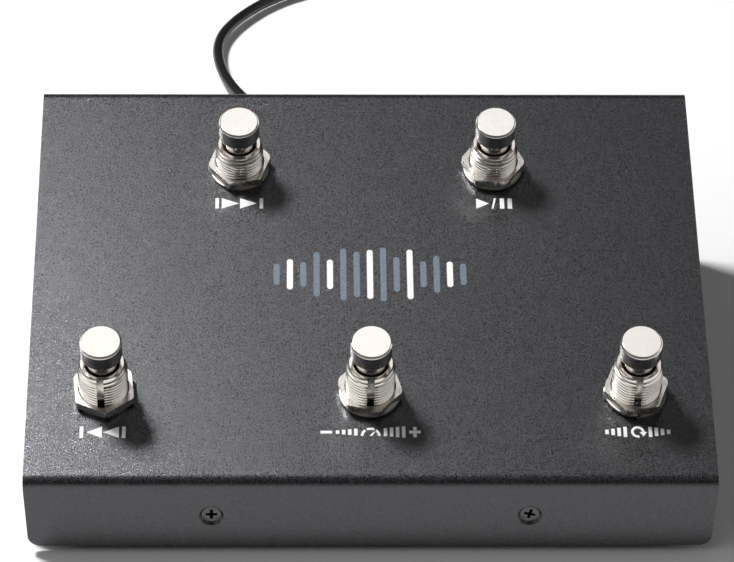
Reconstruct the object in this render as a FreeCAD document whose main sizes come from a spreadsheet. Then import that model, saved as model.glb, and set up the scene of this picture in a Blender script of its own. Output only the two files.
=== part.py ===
"""Foot controller: a sloping sheet-metal case with five momentary footswitches and a lead.

Sizes are in millimetres. +X points to the right of a user who faces the front edge, +Y to the
rear, +Z up, and the origin lies on the ground under the middle of the case.
"""

import FreeCAD
import Part
import Sketcher

import math
import os
import re
from types import SimpleNamespace

Vector = FreeCAD.Vector

SIZES = {
    # Case
    "case_width": 165.0,
    "slope_length": 123.0,
    "plate_slope": 15.0,
    "flange_height": 20.1,
    "foot_height": 2.4,
    "sheet_thickness": 1.5,
    "bend_radius": 1.4,
    "tray_bend_radius": 0.8,
    "flange_corner": 3.0,
    "flange_taper": 0.6,
    "side_inset": 0.4,
    "sheet_fit": 0.1,
    "tab_height": 13.0,
    "tab_relief": 5.0,
    "corner_relief": 2.5,
    "wall_top_gap": 0.4,
    # Feet
    "foot_radius": 6.35,
    "foot_inset_x": 14.0,
    "foot_inset_y": 13.0,
    "foot_taper": 0.5,
    # Case screws and their press nuts
    "screw_radius": 1.5,
    "screw_hole_radius": 1.7,
    "screw_head_radius": 2.5,
    "screw_head_recess": 0.35,
    "screw_head_clearance": 0.1,
    "screw_length": 7.0,
    "screw_spread": 38.0,
    "screw_drop": 10.75,
    "cross_span": 3.1,
    "cross_width": 0.7,
    "cross_depth": 0.9,
    "thread_clearance": 0.06,
    "press_nut_radius": 3.1,
    "press_nut_height": 2.2,
    "press_shank_radius": 2.3,
    "press_shank_length": 1.0,
    "press_clearance": 0.05,
    # Places of the footswitches
    "front_end_inset": 18.5,
    "front_row_inset": 25.6,
    "rear_row_inset": 27.2,
    "rear_switch_drop": 2.7,
    # Threaded bushing
    "bushing_radius": 6.0,
    "bushing_bore": 4.1,
    "bushing_stand": 12.6,
    "bushing_land": 5.2,
    "bushing_chamfer": 0.7,
    "shoulder_depth": 3.9,
    "base_radius": 7.6,
    "base_thickness": 1.0,
    "key_width": 1.75,
    "key_depth": 0.9,
    "bushing_clearance": 0.15,
    # Nuts and washers on the bushing
    "nut_flats": 14.0,
    "nut_height": 2.1,
    "nut_chamfer": 0.45,
    "inner_nut_height": 2.0,
    "washer_radius": 7.5,
    "washer_thickness": 0.9,
    "washer_split": 1.0,
    "washer_bore_gap": 0.25,
    # Button and plunger
    "cap_radius": 5.0,
    "cap_height": 5.0,
    "cap_gap": 3.5,
    "cap_bevel_height": 0.7,
    "cap_bevel_width": 0.3,
    "stem_radius": 3.75,
    "pin_radius": 2.0,
    "pin_length": 3.4,
    "pin_clearance": 0.05,
    "collar_radius": 5.0,
    "collar_thickness": 1.2,
    "rest_gap": 0.3,
    "travel": 3.0,
    # Contact block
    "block_size": 16.5,
    "block_height": 11.0,
    "block_floor": 1.6,
    "block_corner": 1.5,
    "cavity_radius": 5.6,
    "lug_width": 2.0,
    "lug_thickness": 0.5,
    "lug_spread": 4.7,
    "lug_drop": 2.6,
    "lug_rise": 0.6,
    "lug_clearance": 0.05,
    "lug_eye_radius": 0.55,
    # Return spring
    "spring_wire_radius": 0.25,
    "spring_radius": 3.0,
    "spring_turns": 5.0,
    "spring_end_gap": 0.1,
    # Circuit board
    "board_length": 52.0,
    "board_width": 32.0,
    "board_thickness": 1.6,
    "board_centre_y": 3.0,
    "standoff_height": 5.0,
    "standoff_radius": 2.5,
    "board_hole_inset": 3.5,
    "board_screw_radius": 1.25,
    "board_screw_hole": 1.4,
    "board_screw_head": 2.3,
    "board_screw_head_height": 1.4,
    "board_screw_length": 5.5,
    "chip_size": 7.0,
    "chip_height": 1.2,
    "header_depth": 5.0,
    "header_height": 4.4,
    "header_inset": 0.5,
    "header_end": 1.6,
    "rear_header_x": 6.3,
    "wire_radius": 0.5,
    "wire_pitch": 2.2,
    "wire_depth": 1.0,
    "wire_height": 6.6,
    # Lead: gland, cord, coil, tie and plug
    "cord_radius": 1.5,
    "gland_x": -12.0,
    "gland_height": 12.0,
    "gland_hole_radius": 3.25,
    "gland_clearance": 0.1,
    "gland_head_radius": 4.2,
    "gland_head_thickness": 1.6,
    "gland_lip_radius": 3.9,
    "gland_lip_thickness": 1.2,
    "boot_length": 16.0,
    "boot_root_radius": 3.2,
    "boot_tip_radius": 2.2,
    "lead_socket_width": 8.0,
    "lead_socket_depth": 6.0,
    "lead_socket_height": 4.5,
    "coil_radius": 18.0,
    "coil_pitch": 3.55,
    "coil_layers": 4,
    "coil_turns_per_layer": 3.49,
    "coil_lift": 0.9,
    "tie_width": 6.0,
    "tie_thickness": 0.7,
    "tie_clearance": 0.2,
    "tie_angle": 150.0,
    "grip_length": 24.0,
    "grip_width": 15.6,
    "grip_thickness": 8.0,
    "grip_corner": 2.0,
    "relief_length": 9.0,
    "relief_tip_radius": 2.2,
    "relief_root_radius": 3.2,
    "shell_length": 18.0,
    "shell_width": 12.0,
    "shell_height": 4.5,
    "shell_wall": 0.35,
    "insert_height": 1.9,
    "insert_setback": 0.8,
    "insert_clearance": 0.05,
}

# Corners of the free cord's route: right and rearward of the boot's tip, and height on the ground
CORD_ROUTE = [
    (-5.0, 28.8, 6.0),
    (-14.7, 43.3, 1.8),
    (-24.5, 59.6, 1.5),
    (-28.3, 77.1, 1.5),
    (-24.8, 90.0, 1.5),
    (-13.1, 104.4, 1.6),
]
FIRST_RUN = 14.6
# The last two corners lie level with the first layer of the coil
COIL_APPROACH = [(1.4, 111.9), (11.9, 119.5)]
# Corners of the tail from the coil to the plug, as distances along its heading
TAIL_RUNS = [16.0, 38.0, 54.0]

doc = FreeCAD.newDocument("foot_controller")
sheet = doc.addObject("Spreadsheet::Sheet", "sizes")
for line_number, (size_name, size_value) in enumerate(SIZES.items(), 1):
    sheet.set(f"A{line_number}", size_name)
    sheet.set(f"B{line_number}", str(size_value))
    sheet.setAlias(f"B{line_number}", size_name)
doc.recompute()
v = SimpleNamespace(**{name: float(getattr(sheet, name)) for name in SIZES})

SLOPE = math.radians(v.plate_slope)
CASE_DEPTH = v.slope_length * math.cos(SLOPE)
FRONT_EDGE_HEIGHT = v.foot_height + v.flange_height
FLOOR_TOP = v.foot_height + v.sheet_thickness
GLAND_TIP_Y = CASE_DEPTH / 2 + v.gland_head_thickness + v.boot_length

# The same lengths as formulas over the sheet's cells
DEPTH = "(slope_length * cos(plate_slope))"
EDGE_HEIGHT = "(foot_height + flange_height)"
SHEET_ON_SLOPE = "(sheet_thickness / cos(plate_slope))"
BLOCK_TOP = "(shoulder_depth + base_thickness)"
CAP_BOTTOM = "(bushing_stand + cap_gap)"
COLLAR_TOP = f"({BLOCK_TOP} + rest_gap)"

built = {}


def formula(text):
    """Turn the size names in a formula into the sheet's cells."""
    return re.sub(r"[a-z_]+", lambda m: "sizes." + m[0] if m[0] in SIZES else m[0], text)


def bind(thing, **formulas):
    """Tie properties of a document object to formulas over the sizes."""
    for name, text in formulas.items():
        thing.setExpression(name.replace("__", "."), formula(text))


def keep(thing, label, placement=None):
    """Name an object as one of the nodes to export, and place it."""
    thing.Label = label
    if placement is not None:
        thing.Placement = placement
    built[label] = thing
    return thing


def plate_point(x, along, above):
    """Point at a distance along the slope from the front edge and above the plate."""
    y = -CASE_DEPTH / 2 + along * math.cos(SLOPE) - above * math.sin(SLOPE)
    z = FRONT_EDGE_HEIGHT + along * math.sin(SLOPE) + above * math.cos(SLOPE)
    return Vector(x, y, z)


def on_plate(x, along, above=0.0, turn=0.0):
    """Placement that stands a piece square to the sloping plate, turned about its own axis."""
    tilt = FreeCAD.Rotation(Vector(1, 0, 0), v.plate_slope)
    spin = FreeCAD.Rotation(Vector(0, 0, 1), turn)
    return FreeCAD.Placement(plate_point(x, along, above), tilt.multiply(spin))


def upright(x, y, z, turn=0.0):
    """Placement of a piece that stands on a level face."""
    return FreeCAD.Placement(Vector(x, y, z), FreeCAD.Rotation(Vector(0, 0, 1), turn))


# Sketches and features


def new_body(label):
    """Start a body."""
    return doc.addObject("PartDesign::Body", label)


def new_sketch(body, role, **offset):
    """Add a sketch on one of the body's own planes, shifted by formulas in offset."""
    plane = next(item for item in body.Origin.OriginFeatures if item.Role == role)
    sketch = body.newObject("Sketcher::SketchObject", "outline")
    sketch.AttachmentSupport = (plane, "")
    sketch.MapMode = "FlatFace"
    for axis, text in offset.items():
        sketch.setExpression(f"AttachmentOffset.Base.{axis}", formula(text))
    return sketch


def fix_point(sketch, element, point, across, up):
    """Dimension a sketch point from the origin by two formulas."""
    for kind, text in (("DistanceX", across), ("DistanceY", up)):
        number = sketch.addConstraint(Sketcher.Constraint(kind, -1, 1, element, point, 1.0))
        sketch.setExpression(f"Constraints[{number}]", formula(text))


def add_outline(sketch, corners):
    """Add a closed outline whose corners are pairs of formulas."""
    count = len(corners)
    first = sketch.GeometryCount
    start = [
        Vector(math.cos(2 * math.pi * i / count), math.sin(2 * math.pi * i / count), 0)
        for i in range(count)
    ]
    for i in range(count):
        sketch.addGeometry(Part.LineSegment(start[i], start[(i + 1) % count]), False)
    for i in range(count):
        following = first + (i + 1) % count
        sketch.addConstraint(Sketcher.Constraint("Coincident", first + i, 2, following, 1))
    for i, (across, up) in enumerate(corners):
        fix_point(sketch, first + i, 1, across, up)
    return sketch


def add_box(sketch, left, right, low, high):
    """Add a rectangle between four formulas."""
    return add_outline(sketch, [(left, low), (right, low), (right, high), (left, high)])


def add_circle(sketch, across, up, radius):
    """Add a circle whose centre and radius are formulas."""
    number = sketch.addGeometry(Part.Circle(Vector(1, 1, 0), Vector(0, 0, 1), 1.0), False)
    fix_point(sketch, number, 3, across, up)
    constraint = sketch.addConstraint(Sketcher.Constraint("Radius", number, 1.0))
    sketch.setExpression(f"Constraints[{constraint}]", formula(radius))
    return sketch


def pad(body, sketch, length, side="One side", reverse=False):
    """Pad a sketch by a formula."""
    feature = body.newObject("PartDesign::Pad", "pad")
    feature.Profile = sketch
    feature.SideType = side
    feature.Reversed = reverse
    bind(feature, Length=length)
    doc.recompute()
    return feature


def cut(body, sketch, depth, reverse=False):
    """Cut a sketch into the body by a formula, and make sure that it removes material."""
    before = body.Shape.Volume
    feature = body.newObject("PartDesign::Pocket", "pocket")
    feature.Profile = sketch
    feature.Reversed = reverse
    bind(feature, Length=depth)
    doc.recompute()
    if body.Shape.Volume > before - 1e-4:
        raise RuntimeError(f"a pocket of {body.Label} removes nothing")
    return feature


def turn_profile(body, corners):
    """Revolve an outline of radius and height pairs about the body's Z axis."""
    sketch = add_outline(new_sketch(body, "XZ_Plane"), corners)
    feature = body.newObject("PartDesign::Revolution", "revolution")
    feature.Profile = sketch
    feature.ReferenceAxis = (sketch, ["V_Axis"])
    feature.Angle = 360
    doc.recompute()
    return feature


def edges_where(body, test):
    """Names of the straight edges of the body's last feature that pass a test on their ends."""
    names = []
    for number, edge in enumerate(body.Tip.Shape.Edges, 1):
        if len(edge.Vertexes) == 2 and isinstance(edge.Curve, Part.Line):
            if test(edge.Vertexes[0].Point, edge.Vertexes[1].Point):
                names.append(f"Edge{number}")
    if not names:
        raise RuntimeError(f"no edge of {body.Label} fits the test")
    return names


def round_edges(body, radius, test):
    """Fillet the edges that pass a test by a radius formula."""
    last = body.Tip
    names = edges_where(body, test)
    feature = body.newObject("PartDesign::Fillet", "fillet")
    feature.Base = (last, names)
    bind(feature, Radius=radius)
    doc.recompute()
    return feature


def near(first, second):
    """Whether two lengths are equal in practice."""
    return abs(first - second) < 1e-4


def runs_along(axis, first, second):
    """Whether an edge runs along one axis."""
    return all(near(first[i], second[i]) for i in range(3) if i != axis)


def group(label, members):
    """Join identical pieces in one node, as separate solids."""
    compound = doc.addObject("Part::Compound", label)
    compound.Links = members
    return keep(compound, label)


# Paths for tubes


def arc_run(first, corner, second, share, radii):
    """Tangent points and middle of the arc that rounds one corner of a route."""
    into = corner - first
    out = second - corner
    turn = into.getAngle(out)
    radius = share * min(into.Length, out.Length) / math.tan(turn / 2)
    radii.append(radius)
    reach = radius * math.tan(turn / 2)
    inward = (out.normalize() - into.normalize()).normalize()
    middle = corner + inward * (radius / math.cos(turn / 2) - radius)
    return corner - into * reach, middle, corner + out * reach


def rounded_path(points, share=0.45):
    """Wire of straight runs joined by tangent arcs, with the arcs' radii."""
    radii = []
    edges = []
    here = points[0]
    for first, corner, second in zip(points, points[1:], points[2:]):
        start, middle, end = arc_run(first, corner, second, share, radii)
        edges.append(Part.LineSegment(here, start).toShape())
        edges.append(Part.Arc(start, middle, end).toShape())
        here = end
    edges.append(Part.LineSegment(here, points[-1]).toShape())
    return Part.Wire(edges), radii


def tube(wire, direction, radius):
    """Round tube along a wire that starts in a direction."""
    start = wire.OrderedVertexes[0].Point
    section = Part.Wire(Part.Circle(start, direction, radius).toShape())
    return wire.makePipeShell([section], True, False)


def biarc(first, first_way, second, second_way):
    """Two arcs that join two points and keep the direction at each."""
    chord = second - first
    ways = first_way + second_way
    slack = 2 * (1 - first_way.dot(second_way))
    along = chord.dot(ways)
    reach = (-along + math.sqrt(along * along + slack * chord.dot(chord))) / slack
    near_corner = first + first_way * reach
    far_corner = second - second_way * reach
    joint = (near_corner + far_corner) * 0.5
    arcs = []
    for start, corner, end in ((first, near_corner, joint), (joint, far_corner, second)):
        base = (start + end) * 0.5
        half_chord = (end - start).Length / 2
        height = (corner - base).Length
        sagitta = half_chord * half_chord / height
        radius = reach * half_chord / height
        sagitta = math.sqrt(radius * radius + reach * reach) - radius
        middle = corner + (base - corner).normalize() * sagitta
        arcs.append(Part.Arc(start, middle, end).toShape())
    return arcs


def wound_path(place, steps, lead_in):
    """Biarcs through a curve at even steps, with a straight run at each end.

    place gives a point and its direction for a share of the curve from 0 to 1.
    """
    stops = [place(i / steps) for i in range(steps + 1)]
    start, first_way = stops[0]
    end, last_way = stops[-1]
    edges = [Part.LineSegment(start - first_way * lead_in, start).toShape()]
    for (here, way), (there, next_way) in zip(stops, stops[1:]):
        edges += biarc(here, way, there, next_way)
    edges.append(Part.LineSegment(end, end + last_way * lead_in).toShape())
    return Part.Wire(edges)


def least_gap(wire, radius, skip):
    """Least gap between the turns of a wound tube, on points along its middle."""
    points = wire.discretize(Distance=radius / 2)
    cells = {}
    size = 3 * radius
    for number, point in enumerate(points):
        cells.setdefault(tuple(int(c // size) for c in point), []).append(number)
    least = size
    for number, point in enumerate(points):
        cell = [int(c // size) for c in point]
        for dx in (-1, 0, 1):
            for dy in (-1, 0, 1):
                for dz in (-1, 0, 1):
                    for other in cells.get((cell[0] + dx, cell[1] + dy, cell[2] + dz), []):
                        if other > number + skip:
                            least = min(least, (points[other] - point).Length)
    return least - 2 * radius


# Case


def top_cover():
    """Bent cover: front flange, sloping plate and rear flange in one sheet."""
    body = new_body("top_cover")
    tangent = "tan(plate_slope)"
    profile = [
        (f"-{DEPTH} / 2", "foot_height"),
        (f"-{DEPTH} / 2", EDGE_HEIGHT),
        (f"{DEPTH} / 2", f"{EDGE_HEIGHT} + {DEPTH} * {tangent}"),
        (f"{DEPTH} / 2", "foot_height"),
        (f"{DEPTH} / 2 - sheet_thickness", "foot_height"),
        (
            f"{DEPTH} / 2 - sheet_thickness",
            f"{EDGE_HEIGHT} + ({DEPTH} - sheet_thickness) * {tangent} - {SHEET_ON_SLOPE}",
        ),
        (
            f"sheet_thickness - {DEPTH} / 2",
            f"{EDGE_HEIGHT} + sheet_thickness * {tangent} - {SHEET_ON_SLOPE}",
        ),
        (f"sheet_thickness - {DEPTH} / 2", "foot_height"),
    ]
    pad(body, add_outline(new_sketch(body, "YZ_Plane"), profile), "case_width", side="Symmetric")
    rear_height = FRONT_EDGE_HEIGHT + CASE_DEPTH * math.tan(SLOPE)
    inner = CASE_DEPTH / 2 - v.sheet_thickness

    def outer_bend(first, second):
        at_edge = near(first.z, FRONT_EDGE_HEIGHT) or near(first.z, rear_height)
        return runs_along(0, first, second) and at_edge and near(abs(first.y), CASE_DEPTH / 2)

    def inner_bend(first, second):
        above_floor = first.z > FLOOR_TOP
        return runs_along(0, first, second) and near(abs(first.y), inner) and above_floor

    def lower_corner(first, second):
        return runs_along(1, first, second) and near(first.z, v.foot_height)

    round_edges(body, "bend_radius + sheet_thickness", outer_bend)
    round_edges(body, "bend_radius", inner_bend)
    edge = new_sketch(body, "XZ_Plane", z=f"{DEPTH} / 2")
    for side in ("", "-"):
        outline = [
            (f"{side}(case_width / 2)", f"{EDGE_HEIGHT} - bend_radius - sheet_thickness"),
            (f"{side}(case_width / 2 + 1)", f"{EDGE_HEIGHT} - bend_radius - sheet_thickness"),
            (f"{side}(case_width / 2 + 1)", "foot_height"),
            (f"{side}(case_width / 2 - flange_taper)", "foot_height"),
        ]
        add_outline(edge, outline)
    doc.recompute()
    cut(body, edge, "sheet_thickness * 2")
    round_edges(body, "flange_corner", lower_corner)
    holes = new_sketch(body, "XY_Plane", y=f"-{DEPTH} / 2", z=EDGE_HEIGHT)
    holes.AttachmentOffset = FreeCAD.Placement(
        plate_point(0, 0, 0), FreeCAD.Rotation(Vector(1, 0, 0), v.plate_slope)
    )
    bind(holes, AttachmentOffset__Rotation__Angle="plate_slope")
    for switch in SWITCHES:
        add_circle(holes, switch.across, switch.along, "bushing_radius + bushing_clearance")
    doc.recompute()
    cut(body, holes, "sheet_thickness * 2")
    screw_holes(body, f"{DEPTH} / 2", False)
    screw_holes(body, f"-{DEPTH} / 2", True)
    gland_hole = new_sketch(body, "XZ_Plane", z=f"-{DEPTH} / 2")
    add_circle(gland_hole, "gland_x", "gland_height", "gland_hole_radius")
    doc.recompute()
    cut(body, gland_hole, "sheet_thickness * 2", reverse=True)
    keep(body, "top_cover")


def screw_holes(body, face, reverse):
    """Countersunk holes for the two screws of one flange."""
    sketch = new_sketch(body, "XZ_Plane", z=face)
    for across in ("-screw_spread", "screw_spread"):
        add_circle(sketch, across, f"{EDGE_HEIGHT} - screw_drop", "screw_hole_radius")
    doc.recompute()
    before = body.Shape.Volume
    hole = body.newObject("PartDesign::Hole", "screw_holes")
    hole.Profile = sketch
    hole.Reversed = reverse
    hole.Threaded = False
    hole.DepthType = "Dimension"
    hole.DrillPoint = "Flat"
    hole.HoleCutType = "Countersink"
    hole.HoleCutCountersinkAngle = 90
    bind(
        hole,
        Depth="sheet_thickness * 2",
        Diameter="screw_hole_radius * 2",
        HoleCutDiameter="(screw_head_radius + screw_head_clearance + screw_head_recess) * 2",
    )
    doc.recompute()
    if body.Shape.Volume > before - 1e-4:
        raise RuntimeError("the screw holes remove nothing")


def base_tray():
    """Bent tray: floor, two side walls and the tabs that carry the press nuts."""
    body = new_body("base_tray")
    half_width = "(case_width / 2 - side_inset)"
    half_depth = f"({DEPTH} / 2 - sheet_thickness - sheet_fit)"
    side = "(case_width / 2 - side_inset - sheet_thickness - tab_relief)"
    wall_end = f"({half_depth} - corner_relief)"
    floor = new_sketch(body, "XY_Plane", z="foot_height")
    corners = [(side, half_depth), (side, wall_end), (half_width, wall_end)]
    add_outline(
        floor,
        [(x, y) for x, y in corners]
        + [(x, f"-{y}") for x, y in reversed(corners)]
        + [(f"-{x}", f"-{y}") for x, y in corners]
        + [(f"-{x}", y) for x, y in reversed(corners)],
    )
    pad(body, floor, "sheet_thickness")
    wall = new_sketch(body, "YZ_Plane", z=half_width)
    under_plate = f"{EDGE_HEIGHT} - {SHEET_ON_SLOPE} - wall_top_gap"
    add_outline(
        wall,
        [
            (f"-{wall_end}", "foot_height"),
            (wall_end, "foot_height"),
            (wall_end, f"{under_plate} + ({DEPTH} / 2 + {wall_end}) * tan(plate_slope)"),
            (f"-{wall_end}", f"{under_plate} + ({DEPTH} / 2 - {wall_end}) * tan(plate_slope)"),
        ],
    )
    right_wall = pad(body, wall, "sheet_thickness", reverse=True)
    mirror = body.newObject("PartDesign::Mirrored", "left_wall")
    mirror.Originals = [right_wall]
    mirror.MirrorPlane = (
        next(item for item in body.Origin.OriginFeatures if item.Role == "YZ_Plane"),
        [""],
    )
    body.Tip = mirror
    doc.recompute()
    for face, reverse in ((half_depth, True), (f"-{half_depth}", False)):
        tab = new_sketch(body, "XZ_Plane", z=face)
        add_box(tab, f"-{side}", side, "foot_height", "foot_height + tab_height")
        pad(body, tab, "sheet_thickness", reverse=reverse)
    outer_x = v.case_width / 2 - v.side_inset
    outer_y = CASE_DEPTH / 2 - v.sheet_thickness - v.sheet_fit

    def outer_bend(first, second):
        along_wall = runs_along(1, first, second) and near(abs(first.x), outer_x)
        along_tab = runs_along(0, first, second) and near(abs(first.y), outer_y)
        return near(first.z, v.foot_height) and (along_wall or along_tab)

    def inner_bend(first, second):
        wall_face = near(abs(first.x), outer_x - v.sheet_thickness)
        tab_face = near(abs(first.y), outer_y - v.sheet_thickness)
        along_wall = runs_along(1, first, second) and wall_face
        along_tab = runs_along(0, first, second) and tab_face
        return near(first.z, FLOOR_TOP) and (along_wall or along_tab)

    round_edges(body, "tray_bend_radius", inner_bend)
    for face, reverse in ((half_depth, False), (f"-{half_depth}", True)):
        sketch = new_sketch(body, "XZ_Plane", z=face)
        for across in ("-screw_spread", "screw_spread"):
            shank = "press_shank_radius + press_clearance"
            add_circle(sketch, across, f"{EDGE_HEIGHT} - screw_drop", shank)
        doc.recompute()
        cut(body, sketch, "sheet_thickness * 2", reverse=reverse)
    gland_way = new_sketch(body, "XZ_Plane", z=f"-{half_depth}")
    reach = "(gland_lip_radius + gland_clearance * 5)"
    add_box(
        gland_way,
        f"gland_x - {reach}",
        f"gland_x + {reach}",
        f"gland_height - {reach}",
        "foot_height + tab_height + 1",
    )
    doc.recompute()
    cut(body, gland_way, "sheet_thickness * 2", reverse=True)
    round_edges(body, "tray_bend_radius + sheet_thickness", outer_bend)
    keep(body, "base_tray")


def case_screws():
    """Countersunk screws of the front and rear flanges, two on each."""
    turns = {"front": (0.0, -25.0), "rear": (10.0, 40.0)}
    head = "(screw_head_radius - screw_radius)"
    for side, way in (("front", 1), ("rear", -1)):
        members = []
        for across, turn in zip((-v.screw_spread, v.screw_spread), turns[side]):
            body = new_body(f"{side}_screw")
            turn_profile(
                body,
                [
                    ("0", "0"),
                    ("screw_head_radius", "0"),
                    ("screw_radius", f"-{head}"),
                    ("screw_radius", "-screw_length"),
                    ("0", "-screw_length"),
                ],
            )
            recess = new_sketch(body, "XY_Plane")
            arm, half = "cross_span / 2", "cross_width / 2"
            add_outline(
                recess,
                [
                    (f"-{half}", f"-{arm}"),
                    (half, f"-{arm}"),
                    (half, f"-{half}"),
                    (arm, f"-{half}"),
                    (arm, half),
                    (half, half),
                    (half, arm),
                    (f"-{half}", arm),
                    (f"-{half}", half),
                    (f"-{arm}", half),
                    (f"-{arm}", f"-{half}"),
                    (f"-{half}", f"-{half}"),
                ],
            )
            doc.recompute()
            cut(body, recess, "cross_depth")
            body.Placement = flange_placement(across, way, -v.screw_head_recess, turn)
            members.append(body)
        group(f"{side}_cover_screws", members)


def flange_placement(across, way, above, turn=0.0):
    """Placement square to the front flange (way 1) or the rear flange (way -1), from outside."""
    y = -way * (CASE_DEPTH / 2 + above)
    outward = FreeCAD.Rotation(Vector(0, 0, 1), Vector(0, -way, 0))
    spin = FreeCAD.Rotation(Vector(0, 0, 1), turn)
    return FreeCAD.Placement(
        Vector(across, y, FRONT_EDGE_HEIGHT - v.screw_drop), outward.multiply(spin)
    )


def press_nuts():
    """Press nuts in the tabs of the tray, behind the case screws."""
    members = []
    face = v.sheet_thickness * 2 + v.sheet_fit
    bore = "screw_radius + thread_clearance"
    for way in (1, -1):
        for across in (-v.screw_spread, v.screw_spread):
            body = new_body("press_nut")
            turn_profile(
                body,
                [
                    (bore, "press_shank_length"),
                    ("press_shank_radius", "press_shank_length"),
                    ("press_shank_radius", "0"),
                    ("press_nut_radius", "0"),
                    ("press_nut_radius", "-press_nut_height"),
                    (bore, "-press_nut_height"),
                ],
            )
            body.Placement = flange_placement(across, way, -face)
            members.append(body)
    group("press_nuts", members)


def rubber_feet():
    """Four round feet on the floor of the tray."""
    members = []
    for x in (-1, 1):
        for y in (-1, 1):
            body = new_body("rubber_foot")
            turn_profile(
                body,
                [
                    ("0", "0"),
                    ("foot_radius - foot_taper", "0"),
                    ("foot_radius", "foot_height"),
                    ("0", "foot_height"),
                ],
            )
            across = x * (v.case_width / 2 - v.foot_inset_x)
            along = y * (CASE_DEPTH / 2 - v.foot_inset_y)
            body.Placement = upright(across, along, 0)
            members.append(body)
    group("rubber_feet", members)


# Footswitches


def make_switches():
    """Names, places and small turns of the five footswitches, front row first."""
    pitch = v.case_width / 2 - v.front_end_inset
    rows = [
        ("front_left", -1.0, 33.5, -4.0, 150.0),
        ("front_middle", 0.0, -13.0, 0.0, 40.0),
        ("front_right", 1.0, 7.0, 0.0, -90.0),
        ("rear_left", -0.5, 10.0, 180.0, 95.0),
        ("rear_right", 0.5, -3.0, 180.0, 60.0),
    ]
    found = []
    for name, share, nut_turn, key_turn, split_turn in rows:
        rear_row = name.startswith("rear")
        found.append(
            SimpleNamespace(
                name=name,
                across=f"(case_width / 2 - front_end_inset) * ({share})",
                along="slope_length - rear_row_inset" if rear_row else "front_row_inset",
                x=pitch * share,
                at=v.slope_length - v.rear_row_inset if rear_row else v.front_row_inset,
                drop=v.rear_switch_drop if rear_row else 0.0,
                nut_turn=nut_turn,
                key_turn=key_turn,
                split_turn=split_turn,
            )
        )
    return found


def bushing(switch):
    """Threaded bushing with its keyway and the base that closes the contact block."""
    body = new_body(f"{switch.name}_bushing")
    turn_profile(
        body,
        [
            ("bushing_bore", f"-{BLOCK_TOP}"),
            ("base_radius", f"-{BLOCK_TOP}"),
            ("base_radius", "-shoulder_depth"),
            ("bushing_radius", "-shoulder_depth"),
            ("bushing_radius", "bushing_stand - bushing_chamfer"),
            ("bushing_land", "bushing_stand"),
            ("bushing_bore", "bushing_stand"),
        ],
    )
    keyway = new_sketch(body, "XY_Plane", z="bushing_stand")
    add_box(
        keyway, "-key_width / 2", "key_width / 2", "-bushing_radius * 2", "key_depth - bushing_radius"
    )
    doc.recompute()
    cut(body, keyway, "bushing_stand + shoulder_depth")
    keep(
        body,
        f"{switch.name}_bushing",
        on_plate(switch.x, switch.at, -switch.drop, switch.key_turn),
    )


def contact_block(switch):
    """Moulded block under the bushing, with the plunger's cavity and the slots of the lugs."""
    body = new_body(f"{switch.name}_contact_block")
    blank = new_sketch(body, "XY_Plane", z=f"-{BLOCK_TOP}")
    half = "block_size / 2"
    add_box(blank, f"-{half}", half, f"-{half}", half)
    pad(body, blank, "block_height", reverse=True)
    round_edges(body, "block_corner", lambda first, second: runs_along(2, first, second))
    cavity = new_sketch(body, "XY_Plane", z=f"-{BLOCK_TOP}")
    add_circle(cavity, "0", "0", "cavity_radius")
    doc.recompute()
    cut(body, cavity, "block_height - block_floor")
    slots = new_sketch(body, "XY_Plane", z=f"-{BLOCK_TOP}")
    deep = "(lug_width / 2 + lug_clearance)"
    wide = "(lug_thickness / 2 + lug_clearance)"
    for centre in ("-lug_spread", "lug_spread"):
        add_box(slots, f"{centre} - {wide}", f"{centre} + {wide}", f"-{deep}", deep)
    doc.recompute()
    cut(body, slots, "block_height + 1")
    keep(body, f"{switch.name}_contact_block", on_plate(switch.x, switch.at, -switch.drop))


def terminals(switch):
    """Two solder lugs with eyes, through the floor of the contact block."""
    members = []
    for side in ("-lug_spread", "lug_spread"):
        body = new_body("lug")
        strip = new_sketch(body, "YZ_Plane", z=side)
        low = f"-({BLOCK_TOP} + block_height + lug_drop)"
        high = f"-({BLOCK_TOP} + block_height - block_floor - lug_rise)"
        add_box(strip, "-lug_width / 2", "lug_width / 2", low, high)
        add_circle(strip, "0", f"{low} + lug_width / 2", "lug_eye_radius")
        pad(body, strip, "lug_thickness", side="Symmetric")
        body.Placement = on_plate(switch.x, switch.at, -switch.drop)
        members.append(body)
    group(f"{switch.name}_terminals", members)


def return_spring(switch):
    """Wound compression spring between the collar and the floor of the cavity."""
    reach = v.spring_wire_radius + v.spring_end_gap
    block_top = v.shoulder_depth + v.base_thickness
    low = -(block_top + v.block_height - v.block_floor) + reach
    high = -(block_top + v.rest_gap + v.collar_thickness) - reach
    turning = 2 * math.pi * v.spring_turns

    def place(share):
        angle = turning * share
        point = Vector(
            v.spring_radius * math.cos(angle),
            v.spring_radius * math.sin(angle),
            low + (high - low) * share,
        )
        way = Vector(
            -v.spring_radius * math.sin(angle) * turning,
            v.spring_radius * math.cos(angle) * turning,
            high - low,
        ).normalize()
        return point, way

    wire = wound_path(place, round(v.spring_turns * 4), 2 * v.spring_wire_radius)
    feature = doc.addObject("Part::Feature", f"{switch.name}_return_spring")
    feature.Shape = tube(wire, place(0)[1], v.spring_wire_radius)
    keep(
        feature,
        f"{switch.name}_return_spring",
        on_plate(switch.x, switch.at, -switch.drop),
    )
    return least_gap(wire, v.spring_wire_radius, 12)


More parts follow.
